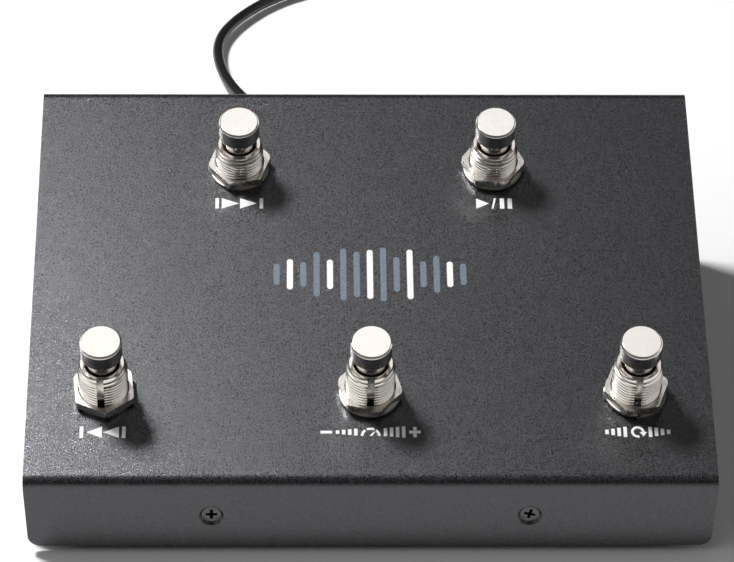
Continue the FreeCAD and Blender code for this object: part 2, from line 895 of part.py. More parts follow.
def plunger(switch):
    """Plunger: collar in the cavity, stem in the bushing and pin for the cap."""
    body = new_body(f"{switch.name}_plunger")
    turn_profile(
        body,
        [
            ("0", f"-({COLLAR_TOP} + collar_thickness)"),
            ("collar_radius", f"-({COLLAR_TOP} + collar_thickness)"),
            ("collar_radius", f"-{COLLAR_TOP}"),
            ("stem_radius", f"-{COLLAR_TOP}"),
            ("stem_radius", CAP_BOTTOM),
            ("pin_radius", CAP_BOTTOM),
            ("pin_radius", f"{CAP_BOTTOM} + pin_length"),
            ("0", f"{CAP_BOTTOM} + pin_length"),
        ],
    )
    keep(body, f"{switch.name}_plunger", on_plate(switch.x, switch.at, -switch.drop))


def cap(switch):
    """Round button with a bevelled rim, pressed on the plunger's pin."""
    body = new_body(f"{switch.name}_cap")
    bore = "pin_radius + pin_clearance"
    bore_end = f"{CAP_BOTTOM} + pin_length + pin_clearance"
    turn_profile(
        body,
        [
            (bore, CAP_BOTTOM),
            ("cap_radius - cap_bevel_width", CAP_BOTTOM),
            ("cap_radius", f"{CAP_BOTTOM} + cap_bevel_width"),
            ("cap_radius", f"{CAP_BOTTOM} + cap_height - cap_bevel_height"),
            ("cap_radius - cap_bevel_width", f"{CAP_BOTTOM} + cap_height"),
            ("0", f"{CAP_BOTTOM} + cap_height"),
            ("0", bore_end),
            (bore, bore_end),
        ],
    )
    keep(body, f"{switch.name}_cap", on_plate(switch.x, switch.at, -switch.drop))


def hex_nut(height):
    """Chamfered hexagon nut with a bore for the bushing, as a common of a prism and a cone."""
    prism = doc.addObject("Part::Prism", "nut_blank")
    prism.Polygon = 6
    bind(prism, Circumradius="nut_flats / 2 / cos(30)", Height=height)
    turned = new_body("nut_turning")
    rim = "(nut_flats / 2 / cos(30))"
    bore = "(bushing_radius + thread_clearance)"
    turn_profile(
        turned,
        [
            (bore, "0"),
            (f"{rim} - nut_chamfer", "0"),
            (rim, "nut_chamfer / 2"),
            (rim, f"{height} - nut_chamfer / 2"),
            (f"{rim} - nut_chamfer", height),
            (f"{bore} + nut_chamfer", height),
            (bore, f"{height} - nut_chamfer"),
        ],
    )
    common = doc.addObject("Part::Common", "hex_nut")
    common.Base = prism
    common.Tool = turned
    doc.recompute()
    return common


def nuts_and_washers():
    """Outer hexagon nuts, split lock washers and inner nuts of the five bushings."""
    outer, inner, washers = [], [], []
    for switch in SWITCHES:
        nut = hex_nut("nut_height")
        nut.Placement = on_plate(switch.x, switch.at, v.washer_thickness, switch.nut_turn)
        outer.append(nut)
        back_nut = hex_nut("inner_nut_height")
        lowest = -(v.sheet_thickness + v.inner_nut_height)
        back_nut.Placement = on_plate(switch.x, switch.at, lowest, switch.nut_turn + 20)
        inner.append(back_nut)
        washer = new_body("lock_washer")
        bore = "bushing_radius + washer_bore_gap"
        turn_profile(
            washer,
            [
                (bore, "0"),
                ("washer_radius", "0"),
                ("washer_radius", "washer_thickness"),
                (bore, "washer_thickness"),
            ],
        )
        split = new_sketch(washer, "XY_Plane", z="washer_thickness")
        half = "washer_split / 2"
        skew = "washer_split * 0.35"
        add_outline(
            split,
            [
                ("bushing_radius - 1", f"-{half} - {skew}"),
                ("washer_radius + 1", f"-{half} + {skew}"),
                ("washer_radius + 1", f"{half} + {skew}"),
                ("bushing_radius - 1", f"{half} - {skew}"),
            ],
        )
        doc.recompute()
        cut(washer, split, "washer_thickness * 2")
        washer.Placement = on_plate(switch.x, switch.at, 0, switch.split_turn)
        washers.append(washer)
    group("hex_nuts", outer)
    group("lock_washers", washers)
    group("inner_nuts", inner)


# Electronics


def circuit_board():
    """Board on four standoffs, with its screws, controller chip, wire header and lead socket."""
    board_low = FLOOR_TOP + v.standoff_height
    board_top = board_low + v.board_thickness
    corners = [
        (
            sx * (v.board_length / 2 - v.board_hole_inset),
            v.board_centre_y + sy * (v.board_width / 2 - v.board_hole_inset),
        )
        for sx in (-1, 1)
        for sy in (-1, 1)
    ]
    body = new_body("circuit_board")
    outline = new_sketch(body, "XY_Plane")
    add_box(
        outline, "-board_length / 2", "board_length / 2", "-board_width / 2", "board_width / 2"
    )
    for sx in ("-", ""):
        for sy in ("-", ""):
            hole_x = f"{sx}(board_length / 2 - board_hole_inset)"
            hole_y = f"{sy}(board_width / 2 - board_hole_inset)"
            add_circle(outline, hole_x, hole_y, "board_screw_hole")
    pad(body, outline, "board_thickness")
    keep(body, "circuit_board", upright(0, v.board_centre_y, board_low))
    posts, screws = [], []
    for x, y in corners:
        post = new_body("standoff")
        bore = "board_screw_radius + thread_clearance"
        turn_profile(
            post,
            [
                (bore, "0"),
                ("standoff_radius", "0"),
                ("standoff_radius", "standoff_height"),
                (bore, "standoff_height"),
            ],
        )
        post.Placement = upright(x, y, FLOOR_TOP)
        posts.append(post)
        screw = new_body("board_screw")
        turn_profile(
            screw,
            [
                ("0", "-board_screw_length"),
                ("board_screw_radius", "-board_screw_length"),
                ("board_screw_radius", "0"),
                ("board_screw_head", "0"),
                ("board_screw_head", "board_screw_head_height * 0.6"),
                ("board_screw_head * 0.7", "board_screw_head_height"),
                ("0", "board_screw_head_height"),
            ],
        )
        screw.Placement = upright(x, y, board_top)
        screws.append(screw)
    group("board_standoffs", posts)
    group("board_screws", screws)
    chip = doc.addObject("Part::Box", "controller_chip")
    bind(chip, Length="chip_size", Width="chip_size", Height="chip_height")
    chip_y = v.board_centre_y - v.chip_size / 2
    keep(chip, "controller_chip", upright(v.chip_size * 0.4, chip_y, board_top))
    headers = []
    edge = v.board_width / 2 - v.header_inset
    for ways, x, y, turn in ((6, 0.0, -edge, 0.0), (4, v.rear_header_x, edge, 180.0)):
        header = new_body("wire_header")
        blank = new_sketch(header, "XZ_Plane")
        half = f"(wire_pitch * {(ways - 1) / 2} + header_end)"
        add_box(blank, f"-{half}", half, "-header_height", "0")
        pad(header, blank, "header_depth", reverse=True)
        wells = new_sketch(header, "XZ_Plane")
        level = "wire_height - foot_height - sheet_thickness - standoff_height"
        for place in range(ways):
            across = f"wire_pitch * {place - (ways - 1) / 2}"
            add_circle(wells, across, level, "wire_radius + lug_clearance")
        doc.recompute()
        cut(header, wells, "wire_depth")
        header.Placement = upright(x, v.board_centre_y + y, board_low, turn)
        headers.append(header)
    group("wire_headers", headers)
    socket = doc.addObject("Part::Box", "lead_socket")
    bind(
        socket, Length="lead_socket_width", Width="lead_socket_depth", Height="lead_socket_height"
    )
    socket_y = v.board_centre_y + v.board_width / 2 - v.lead_socket_depth
    keep(socket, "lead_socket", upright(v.gland_x - v.lead_socket_width / 2, socket_y, board_top))
    return socket_y + v.lead_socket_depth


def switch_wires():
    """Ten insulated wires that run along the tray from the lugs to the headers."""
    depth = v.shoulder_depth + v.base_thickness + v.block_height + v.lug_drop
    down = (plate_point(0, 0, -1) - plate_point(0, 0, 0)).normalize()
    low = FLOOR_TOP + 2 * v.wire_radius
    edge = v.board_width / 2 - v.header_inset
    shapes = []
    radii = []
    for switch in SWITCHES:
        way = 1 if switch.x > 0 else -1
        for side in (-1, 1):
            start = plate_point(switch.x + side * v.lug_spread, switch.at, -switch.drop - depth)
            outer = side == way
            if switch.x == 0:
                well = side * v.wire_pitch / 2
                face = v.board_centre_y - edge
                points = [
                    start,
                    start + down * 6.6,
                    Vector(well, face - 6.0, v.wire_height),
                    Vector(well, face + v.wire_depth, v.wire_height),
                ]
            elif switch.drop == 0:
                well = way * v.wire_pitch * (2.5 if outer else 1.5)
                face = v.board_centre_y - edge
                lane = face - (7.5 if outer else 10.0)
                points = [
                    start,
                    start + down * 6.6,
                    Vector(start.x - way * 6.0, lane, low),
                    Vector(well + way * 6.0, lane, low),
                    Vector(well, face - 4.0, v.wire_height),
                    Vector(well, face + v.wire_depth, v.wire_height),
                ]
            else:
                well = v.rear_header_x + way * v.wire_pitch * (1.5 if outer else 0.5)
                face = v.board_centre_y + edge
                lane = face + (7.5 if outer else 11.0)
                points = [
                    start,
                    start + down * 12.0,
                    Vector(start.x - way * 4.0, lane + 8.0, v.wire_height),
                    Vector(well + way * 6.0, lane, v.wire_height),
                    Vector(well, face + 4.5, v.wire_height),
                    Vector(well, face - v.wire_depth, v.wire_height),
                ]
            wire, turns = rounded_path(points)
            radii += turns
            shapes.append(tube(wire, (points[1] - points[0]).normalize(), v.wire_radius))
    feature = doc.addObject("Part::Feature", "switch_wires")
    feature.Shape = Part.Compound(shapes)
    keep(feature, "switch_wires")
    return min(radii)


# Lead


def cord_gland():
    """Grommet in the rear flange with a tapered boot, moulded round the cord."""
    body = new_body("cord_gland")
    neck = "(gland_hole_radius - gland_clearance)"
    turn_profile(
        body,
        [
            ("0", "-(sheet_thickness + gland_clearance + gland_lip_thickness)"),
            ("gland_lip_radius * 0.85", "-(sheet_thickness + gland_clearance + gland_lip_thickness)"),
            ("gland_lip_radius", "-(sheet_thickness + gland_clearance)"),
            (neck, "-(sheet_thickness + gland_clearance)"),
            (neck, "0"),
            ("gland_head_radius", "0"),
            ("gland_head_radius", "gland_head_thickness * 0.7"),
            ("boot_root_radius", "gland_head_thickness"),
            ("boot_tip_radius", "gland_head_thickness + boot_length"),
            ("0", "gland_head_thickness + boot_length"),
        ],
    )
    rearward = FreeCAD.Rotation(Vector(0, 0, 1), Vector(0, 1, 0))
    keep(
        body,
        "cord_gland",
        FreeCAD.Placement(Vector(v.gland_x, CASE_DEPTH / 2, v.gland_height), rearward),
    )


def inner_lead(socket_end):
    """Cord inside the case, from the grommet to its socket on the board."""
    start_y = CASE_DEPTH / 2 - v.sheet_thickness - v.gland_clearance - v.gland_lip_thickness
    span = start_y - socket_end
    bow = [(0.0, 0.0, 0.0), (0.0, 0.22, 0.0), (1.2, 0.5, 1.0), (0.0, 0.78, 0.0), (0.0, 1.0, 0.0)]
    points = [
        Vector(v.gland_x + dx, start_y - span * share, v.gland_height + dz)
        for dx, share, dz in bow
    ]
    wire, radii = rounded_path(points)
    feature = doc.addObject("Part::Feature", "inner_lead")
    feature.Shape = tube(wire, (points[1] - points[0]).normalize(), v.cord_radius)
    keep(feature, "inner_lead")
    return min(radii)


def cord_points():
    """Corner points of the free cord, from the tip of the boot to the start of the coil."""
    tip = Vector(v.gland_x, GLAND_TIP_Y, v.gland_height)
    points = [tip, tip + Vector(0, FIRST_RUN, 0)]
    for x, y, z in CORD_ROUTE:
        points.append(Vector(tip.x + x, tip.y + y, z))
    for x, y in COIL_APPROACH:
        points.append(Vector(tip.x + x, tip.y + y, coil_height(0)))
    return points


def coil_height(layer):
    """Height of the middle of one layer of the coil."""
    return v.coil_lift + v.cord_radius + layer * v.coil_pitch


def free_cord(points):
    """Tube along the free cord."""
    wire, radii = rounded_path(points)
    feature = doc.addObject("Part::Feature", "cord_run")
    feature.Shape = tube(wire, (points[1] - points[0]).normalize(), v.cord_radius)
    keep(feature, "cord_run")
    section = math.pi * v.cord_radius**2
    print("cord radii", [round(r, 1) for r in radii])
    print("cord length", round(wire.Length, 1), "share", feature.Shape.Volume / wire.Length / section)
    return wire.Length


def cord_coil(points):
    """Coil of the length that is put away: layers that spiral in and out by turns."""
    heading = points[-1] - points[-2]
    heading = Vector(heading.x, heading.y, 0).normalize()
    leftward = Vector(-heading.y, heading.x, 0)
    span = v.coil_turns_per_layer * v.coil_pitch
    outer = v.coil_radius + span / 2
    first_angle = math.atan2(-leftward.y, -leftward.x)
    straight = 2 * v.cord_radius
    centre = points[-1] + heading * straight + leftward * outer
    total = v.coil_layers * v.coil_turns_per_layer

    def at(share):
        turned = total * share
        layer = min(int(turned / v.coil_turns_per_layer), int(v.coil_layers) - 1)
        within = turned - layer * v.coil_turns_per_layer
        inward = within if layer % 2 == 0 else v.coil_turns_per_layer - within
        radius = outer - inward * v.coil_pitch
        climbed = 0.0
        for number in range(1, int(v.coil_layers)):
            past = turned - number * v.coil_turns_per_layer
            climbed += min(max((past + 0.25) / 0.5, 0.0), 1.0)
        angle = first_angle + 2 * math.pi * turned
        return Vector(
            centre.x + radius * math.cos(angle),
            centre.y + radius * math.sin(angle),
            coil_height(climbed),
        )

    def place(share):
        step = 1e-4
        before = at(max(share - step, 0.0))
        after = at(min(share + step, 1.0))
        way = (after - before).normalize()
        if share in (0.0, 1.0):
            way = Vector(way.x, way.y, 0).normalize()
        return at(share), way

    start_way = place(0.0)[1]
    wire = wound_path(place, round(total * 4), straight)
    feature = doc.addObject("Part::Feature", "cord_coil")
    feature.Shape = tube(wire, start_way, v.cord_radius)
    keep(feature, "cord_coil")
    print("coil length", round(wire.Length, 1), "turns", total)
    print("coil least gap", round(least_gap(wire, v.cord_radius, 24), 3))
    end, end_way = place(1.0)
    return wire.Length, end + end_way * straight, end_way, centre, outer, span


def coil_tie(centre, outer, span):
    """Strap closed round the bundle of turns."""
    reach = v.cord_radius + v.tie_clearance
    low = v.coil_lift - v.tie_clearance
    high = coil_height(v.coil_layers - 1) + reach
    inside = outer - span - reach
    outside = outer + reach

    def frame(grow):
        box = Part.makeBox(
            outside - inside + 2 * grow,
            v.tie_width + (2.0 if grow == 0 else 0.0),
            high - low + 2 * grow,
            Vector(inside - grow, -v.tie_width / 2 - (1.0 if grow == 0 else 0.0), low - grow),
        )
        sharp = [e for e in box.Edges if runs_along(1, e.Vertexes[0].Point, e.Vertexes[1].Point)]
        return box.makeFillet(0.8 + grow, sharp)

    feature = doc.addObject("Part::Feature", "coil_tie")
    feature.Shape = frame(v.tie_thickness).cut(frame(0))
    keep(
        feature,
        "coil_tie",
        FreeCAD.Placement(
            Vector(centre.x, centre.y, 0), FreeCAD.Rotation(Vector(0, 0, 1), v.tie_angle)
        ),
    )


def cord_tail(start, way):
    """Tube from the top of the coil down to the plug."""
    level = v.grip_thickness / 2
    points = [start]
    for number, run in enumerate(TAIL_RUNS):
        height = start.z if number == 0 else level
        points.append(Vector(start.x + way.x * run, start.y + way.y * run, height))
    wire, radii = rounded_path(points)
    feature = doc.addObject("Part::Feature", "cord_tail")
    feature.Shape = tube(wire, way, v.cord_radius)
    keep(feature, "cord_tail")
    print("tail radii", [round(r, 1) for r in radii])
    return wire.Length, points[-1]


def plug(start, way):
    """Plug: grip with its strain relief, metal shell and contact insert."""
    turn = math.degrees(math.atan2(way.y, way.x))
    lay = FreeCAD.Placement(start, FreeCAD.Rotation(Vector(0, 0, 1), turn))
    body = new_body("plug_grip")
    blank = new_sketch(body, "YZ_Plane", z="relief_length")
    half_width, half_height = "grip_width / 2", "grip_thickness / 2"
    add_box(blank, f"-{half_width}", half_width, f"-{half_height}", half_height)
    pad(body, blank, "grip_length")
    round_edges(body, "grip_corner", lambda first, second: runs_along(0, first, second))
    relief = new_sketch(body, "XY_Plane")
    add_outline(
        relief,
        [
            ("0", "0"),
            ("0", "relief_tip_radius"),
            ("relief_length", "relief_root_radius"),
            ("relief_length", "0"),
        ],
    )
    feature = body.newObject("PartDesign::Revolution", "strain_relief")
    feature.Profile = relief
    feature.ReferenceAxis = (relief, ["H_Axis"])
    feature.Angle = 360
    doc.recompute()
    keep(body, "plug_grip", lay)
    shell = new_body("plug_shell")
    outline = new_sketch(shell, "YZ_Plane", z="relief_length + grip_length")
    add_box(outline, "-shell_width / 2", "shell_width / 2", "-shell_height / 2", "shell_height / 2")
    add_box(
        outline,
        "shell_wall - shell_width / 2",
        "shell_width / 2 - shell_wall",
        "shell_wall - shell_height / 2",
        "shell_height / 2 - shell_wall",
    )
    pad(shell, outline, "shell_length")
    keep(shell, "plug_shell", lay)
    insert = doc.addObject("Part::Box", "plug_insert")
    bind(
        insert,
        Length="shell_length - insert_setback",
        Width="shell_width - 2 * shell_wall - 2 * insert_clearance",
        Height="insert_height",
    )
    corner = Vector(
        v.relief_length + v.grip_length,
        -(v.shell_width / 2 - v.shell_wall - v.insert_clearance),
        -v.shell_height / 2 + v.shell_wall + v.insert_clearance,
    )
    keep(insert, "plug_insert", lay.multiply(FreeCAD.Placement(corner, FreeCAD.Rotation())))


def check_and_export():
    """Stop on a failed object or a bad shape, then write each node."""
    doc.recompute()
    for thing in doc.Objects:
        if "Invalid" in thing.State or "Error" in thing.State:
            raise RuntimeError(f"{thing.Name} ({thing.Label}) failed: {thing.State}")
    for label, thing in built.items():
        shape = thing.Shape
        if shape.isNull() or not shape.isValid() or not shape.Solids:
            raise RuntimeError(f"{label} has no valid solid")
    os.makedirs("parts", exist_ok=True)
    for label, thing in built.items():
        thing.Shape.exportStep(f"parts/{label}.step")
    print(len(built), "nodes")


SWITCHES = make_switches()
top_cover()
base_tray()
case_screws()
press_nuts()
rubber_feet()
for each_switch in SWITCHES:
    bushing(each_switch)
    contact_block(each_switch)
    terminals(each_switch)
    spring_gap = return_spring(each_switch)
    plunger(each_switch)
    cap(each_switch)
print("spring least gap", round(spring_gap, 3))
nuts_and_washers()
socket_face = circuit_board()
print("least wire bend", round(switch_wires(), 2))
cord_gland()
print("least bend of the inner lead", round(inner_lead(socket_face), 1))
route = cord_points()
run_length = free_cord(route)
coil_length, coil_end, coil_way, coil_centre, coil_outer, coil_span = cord_coil(route)
coil_tie(coil_centre, coil_outer, coil_span)
tail_length, tail_end = cord_tail(coil_end, coil_way)
plug(tail_end, coil_way)
print("whole cord", round(run_length + coil_length + tail_length, 1))
tip = tail_end + coil_way * (v.relief_length + v.grip_length + v.shell_length)
print("plug tip", [round(c, 3) for c in tip], [round(c, 5) for c in coil_way])
print("coil centre", [round(c, 2) for c in coil_centre], "radii", coil_outer - coil_span, coil_outer)
check_and_export()
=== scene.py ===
"""Studio picture of a foot controller: a sloping sheet-metal case with five footswitches.

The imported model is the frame. Every piece made here is in metres, in the model's own frame, and
rides on one of its bodies.
"""

import logging
import math
from collections.abc import Sequence
from dataclasses import dataclass
from enum import Enum

import bmesh
import bpy
from mathutils import Matrix, Vector


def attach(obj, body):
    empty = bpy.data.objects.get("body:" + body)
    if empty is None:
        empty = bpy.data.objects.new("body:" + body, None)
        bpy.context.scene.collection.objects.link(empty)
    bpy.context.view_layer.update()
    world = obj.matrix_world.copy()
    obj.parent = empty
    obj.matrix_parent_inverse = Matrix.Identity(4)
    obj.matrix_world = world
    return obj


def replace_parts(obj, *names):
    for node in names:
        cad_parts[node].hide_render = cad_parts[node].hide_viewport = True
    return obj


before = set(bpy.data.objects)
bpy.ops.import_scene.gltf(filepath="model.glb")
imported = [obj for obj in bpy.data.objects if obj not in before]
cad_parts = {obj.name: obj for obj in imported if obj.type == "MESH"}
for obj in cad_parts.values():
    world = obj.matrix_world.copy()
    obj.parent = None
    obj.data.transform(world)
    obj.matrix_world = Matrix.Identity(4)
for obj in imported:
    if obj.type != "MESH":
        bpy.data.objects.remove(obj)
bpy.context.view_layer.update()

MM = 0.001
MERGE = 0.002 * MM
# Most of a side that one rounding may take, and where the point that supports it stands
ROUNDED_SHARE = 0.45
SUPPORT_REACH = 1.1
# Radius of the corners of a round end, as a share of half its width
ROUND_END = 0.999
CASE = "case"
log = logging.getLogger("foot_controller")

Colour = tuple[float, float, float]
Outline = list[tuple[float, float]]
Corners = Sequence[tuple[float, float]]
Face = tuple[int, ...]
# Points and faces of a closed mesh
Form = tuple[list[Vector], list[Face]]


class SwitchName(Enum):
    """The five footswitches, by the prefix of their nodes."""

    FRONT_LEFT = "front_left"
    FRONT_MIDDLE = "front_middle"
    FRONT_RIGHT = "front_right"
    REAR_LEFT = "rear_left"
    REAR_RIGHT = "rear_right"


# Node trees


class ShaderTree:
    """A material's node tree, with short calls to add and join its nodes."""

    def __init__(self, name: str) -> None:
        """Start a material with a plain surface shader.

        Args:
            name: The material's name.
        """
        self.material = bpy.data.materials.new(name)
        self.material.use_nodes = True
        self.tree = self.material.node_tree
        self.surface = self.tree.nodes["Principled BSDF"]

    def add(self, kind: str, sockets: dict | None = None, **settings: object) -> bpy.types.Node:
        """Add a node.

        Args:
            kind: The node's type.
            sockets: Values for its inputs, by name or number.
            settings: Values for its own properties.

        Returns:
            The node.
        """
        node = self.tree.nodes.new(kind)
        for key, value in settings.items():
            setattr(node, key, value)
        for key, value in (sockets or {}).items():
            node.inputs[key].default_value = value
        return node

    def join(
        self, source: bpy.types.Node, output: str | int, target: bpy.types.Node, entry: str | int
    ) -> None:
        """Link an output of one node to an input of another."""
        self.tree.links.new(source.outputs[output], target.inputs[entry])

    def set(self, **values: object) -> None:
        """Set inputs of the surface shader.

        Args:
            values: The values by the inputs' names, with underscores for their spaces.
        """
        for key, value in values.items():
            self.surface.inputs[key.replace("_", " ")].default_value = value

    def noise(self, size: float, detail: float = 2.0, roughness: float = 0.5) -> bpy.types.Node:
        """Add noise whose features have a size in metres of the object.

        Args:
            size: Size of a feature.
            detail: How many finer layers it has.
            roughness: How strong the finer layers are.

        Returns:
            The noise node.
        """
        place = self.add("ShaderNodeTexCoord")
        node = self.add(
            "ShaderNodeTexNoise", {"Scale": 1.0 / size, "Detail": detail, "Roughness": roughness}
        )
        self.join(place, "Object", node, "Vector")
        return node

    def spread(
        self,
        source: bpy.types.Node,
        output: str,
        low: float,
        high: float,
        bounds: tuple[float, float] = (0.3, 0.7),
    ) -> bpy.types.Node:
        """Map a texture's middle range to a range of values.

        Args:
            source: The texture node.
            output: Its output.
            low: The value at the lower bound.
            high: The value at the upper bound.
            bounds: The part of the texture's range that is used.

        Returns:
            The mapping node, whose Result is the value.
        """
        node = self.add(
            "ShaderNodeMapRange",
            {"From Min": bounds[0], "From Max": bounds[1], "To Min": low, "To Max": high},
        )
        self.join(source, output, node, "Value")
        return node

    def shade(self, source: bpy.types.Node, output: str, first: Colour, second: Colour) -> None:
        """Colour the surface by a mix of two colours.

        Args:
            source: The node that drives the mix.
            output: Its output.
            first: The colour at 0.
            second: The colour at 1.
        """
        node = self.add("ShaderNodeMix", data_type="RGBA")
        node.inputs[6].default_value = (*first, 1.0)
        node.inputs[7].default_value = (*second, 1.0)
        self.join(source, output, node, 0)
        self.join(node, 2, self.surface, "Base Color")

    def bump(self, source: bpy.types.Node, output: str, depth: float, strength: float) -> None:
        """Raise the surface by a texture, and add to any bump that it has already.

        Args:
            source: The texture node.
            output: Its output.
            depth: Height of the relief in metres.
            strength: How much of it is felt.
        """
        node = self.add("ShaderNodeBump", {"Strength": strength, "Distance": depth})
        self.join(source, output, node, "Height")
        links = self.surface.inputs["Normal"].links
        if links:
            self.tree.links.new(links[0].from_socket, node.inputs["Normal"])
        self.join(node, "Normal", self.surface, "Normal")


# Finishes


@dataclass(frozen=True)
class PowderCoat:
    """Black powder coat with a fine sandy grain.

    Attributes:
        label: Name of the material.
        colour: Colour of the pigment.
        fleck: Colour of the paler grains.
        roughness: How dull the coat is.
        shine: Strength of its reflection.
        tint: Colour of its reflection.
        grain: Size of a grain.
        relief: Height of the grains.
        unevenness: How much duller the coat is between the grains.
        fleck_range: Part of the grain's range in which the flecks show.
    """

    label: str = "textured_powder_coat"
    colour: Colour = (0.002, 0.002, 0.0025)
    fleck: Colour = (0.009, 0.009, 0.011)
    roughness: float = 0.32
    shine: float = 1.0
    tint: Colour = (0.95, 0.95, 1.0)
    grain: float = 0.18 * MM
    relief: float = 0.045 * MM
    unevenness: float = 0.20
    fleck_range: tuple[float, float] = (0.45, 0.75)

    def material(self) -> bpy.types.Material:
        """Build the material.

        Returns:
            The material.
        """
        tree = ShaderTree(self.label)
        tree.set(Specular_IOR_Level=self.shine, Specular_Tint=(*self.tint, 1.0))
        grains = tree.noise(self.grain, 1.0, 0.6)
        flecks = tree.spread(grains, "Fac", 0.0, 1.0, self.fleck_range)
        tree.shade(flecks, "Result", self.colour, self.fleck)
        place = tree.add("ShaderNodeTexCoord")
        pits = tree.add("ShaderNodeTexVoronoi", {"Scale": 1.0 / self.grain})
        tree.join(place, "Object", pits, "Vector")
        low, high = self.roughness - self.unevenness, self.roughness + self.unevenness
        dull = tree.spread(pits, "Color", low, high, (0.2, 0.8))
        tree.join(dull, "Result", tree.surface, "Roughness")
        tree.bump(grains, "Fac", self.relief, 1.0)
        return tree.material


@dataclass(frozen=True)
class PlatedMetal:
    """Plated metal with faint handling marks.

    Attributes:
        label: Name of the material.
        colour: Colour of the plating.
        roughness: How dull the plating is.
        marks: Size of the marks.
        relief: Height of the unevenness.
        paler: How much paler the marks are.
        smoothest: Least of the roughness, as a share.
        dullest: Most of the roughness, as a share.
        scuff: Size of a scuff as a share of a mark.
    """

    label: str
    colour: Colour
    roughness: float
    marks: float = 1.5 * MM
    relief: float = 0.002 * MM
    paler: float = 1.06
    smoothest: float = 0.85
    dullest: float = 1.2
    scuff: float = 0.12

    def material(self) -> bpy.types.Material:
        """Build the material.

        Returns:
            The material.
        """
        tree = ShaderTree(self.label)
        tree.set(Metallic=1.0)
        patches = tree.noise(self.marks, 3.0, 0.6)
        marked = tuple(min(1.0, c * self.paler) for c in self.colour)
        tree.shade(patches, "Fac", self.colour, marked)
        low, high = self.roughness * self.smoothest, self.roughness * self.dullest
        dull = tree.spread(patches, "Fac", low, high)
        tree.join(dull, "Result", tree.surface, "Roughness")
        scuffs = tree.noise(self.marks * self.scuff, 2.0, 0.6)
        tree.bump(scuffs, "Fac", self.relief, 0.6)
        return tree.material


@dataclass(frozen=True)
class Moulded:
    """Moulded rubber or plastic with a slightly uneven skin.

    Attributes:
        label: Name of the material.
        colour: Its colour.
        roughness: How dull it is.
        skin: Size of the unevenness.
        relief: Height of the unevenness.
        variation: How much its shade varies.
        cloud: Size of a paler cloud, in features of the skin.
        unevenness: How much the roughness varies.
    """

    label: str
    colour: Colour
    roughness: float
    skin: float = 0.3 * MM
    relief: float = 0.01 * MM
    variation: float = 0.25
    cloud: float = 30.0
    unevenness: float = 0.04

    def material(self) -> bpy.types.Material:
        """Build the material.

        Returns:
            The material.
        """
        tree = ShaderTree(self.label)
        clouds = tree.noise(self.skin * self.cloud, 2.0)
        paler = tuple(min(1.0, c * (1 + self.variation)) for c in self.colour)
        tree.shade(clouds, "Fac", self.colour, paler)
        low, high = self.roughness - self.unevenness, self.roughness + self.unevenness
        dull = tree.spread(clouds, "Fac", low, high)
        tree.join(dull, "Result", tree.surface, "Roughness")
        skin = tree.noise(self.skin, 3.0)
        tree.bump(skin, "Fac", self.relief, 0.5)
        return tree.material


@dataclass(frozen=True)
class PrintedInk:
    """Thin print that follows the grain of the coat below it.

    Attributes:
        label: Name of the material.
        colour: Colour of the ink.
        worn: Colour where the coat's grain shows through.
        cover: Share of the grain that stays covered.
        grain: Size of a grain.
        relief: Height of the grains.
    """

    label: str
    colour: Colour
    worn: Colour
    cover: float = 0.6
    grain: float = 0.38 * MM
    relief: float = 0.04 * MM

    def material(self) -> bpy.types.Material:
        """Build the material.

        Returns:
            The material.
        """
        tree = ShaderTree(self.label)
        tree.set(Roughness=0.5, Specular_IOR_Level=0.3)
        grains = tree.noise(self.grain, 2.0, 0.6)
        thin = tree.spread(grains, "Fac", 0.0, 1.0, (self.cover, self.cover + 0.25))
        tree.shade(thin, "Result", self.colour, self.worn)
        tree.bump(grains, "Fac", self.relief, 0.7)
        return tree.material


@dataclass(frozen=True)
class BoardLaminate:
    """Circuit board: solder mask with copper tracks below it.

    Attributes:
        label: Name of the material.
        mask: Colour of the mask.
        track: Colour of a covered track.
        relief: Height of a track.
    """

    label: str = "board_laminate"
    mask: Colour = (0.008, 0.075, 0.028)
    track: Colour = (0.02, 0.16, 0.06)
    relief: float = 0.03 * MM

    def material(self) -> bpy.types.Material:
        """Build the material.

        Returns:
            The material.
        """
        tree = ShaderTree(self.label)
        tree.set(Roughness=0.3)
        place = tree.add("ShaderNodeTexCoord")
        tracks = tree.add(
            "ShaderNodeTexBrick",
            {"Scale": 160.0, "Mortar Size": 0.06, "Brick Width": 1.4, "Row Height": 0.5},
        )
        tree.join(place, "Object", tracks, "Vector")
        tree.shade(tracks, "Fac", self.mask, self.track)
        tree.bump(tracks, "Fac", self.relief, 0.6)
        return tree.material


COAT = PowderCoat()
TRAY_COAT = PowderCoat("smooth_powder_coat", (0.008, 0.008, 0.009), (0.016, 0.016, 0.017), 0.46)
NICKEL = PlatedMetal("bright_nickel", (0.78, 0.74, 0.69), 0.17)
SATIN = PlatedMetal("satin_nickel", (0.76, 0.725, 0.68), 0.25)
DULL = PlatedMetal("dull_nickel", (0.46, 0.435, 0.40), 0.40)
POLISHED = PlatedMetal("polished_nickel", (0.80, 0.765, 0.72), 0.12)
BLACK_SCREW = PlatedMetal("black_oxide", (0.10, 0.10, 0.103), 0.36)
ZINC = PlatedMetal("zinc_plate", (0.62, 0.62, 0.60), 0.32)
SPRING_WIRE = PlatedMetal("spring_wire", (0.55, 0.55, 0.55), 0.28, 0.4 * MM)
TINNED = PlatedMetal("tinned_brass", (0.74, 0.71, 0.62), 0.35)
GOLD = PlatedMetal("contact_gold", (0.86, 0.66, 0.28), 0.22)
FEET = Moulded("foot_rubber", (0.016, 0.016, 0.016), 0.75, 0.25 * MM, 0.02 * MM)
JACKET = Moulded("cord_jacket", (0.010, 0.010, 0.011), 0.30, 0.5 * MM, 0.006 * MM)
GRIP = Moulded("plug_grip", (0.016, 0.016, 0.017), 0.48, 0.2 * MM, 0.012 * MM)
BLOCK = Moulded("black_moulding", (0.018, 0.018, 0.018), 0.45)
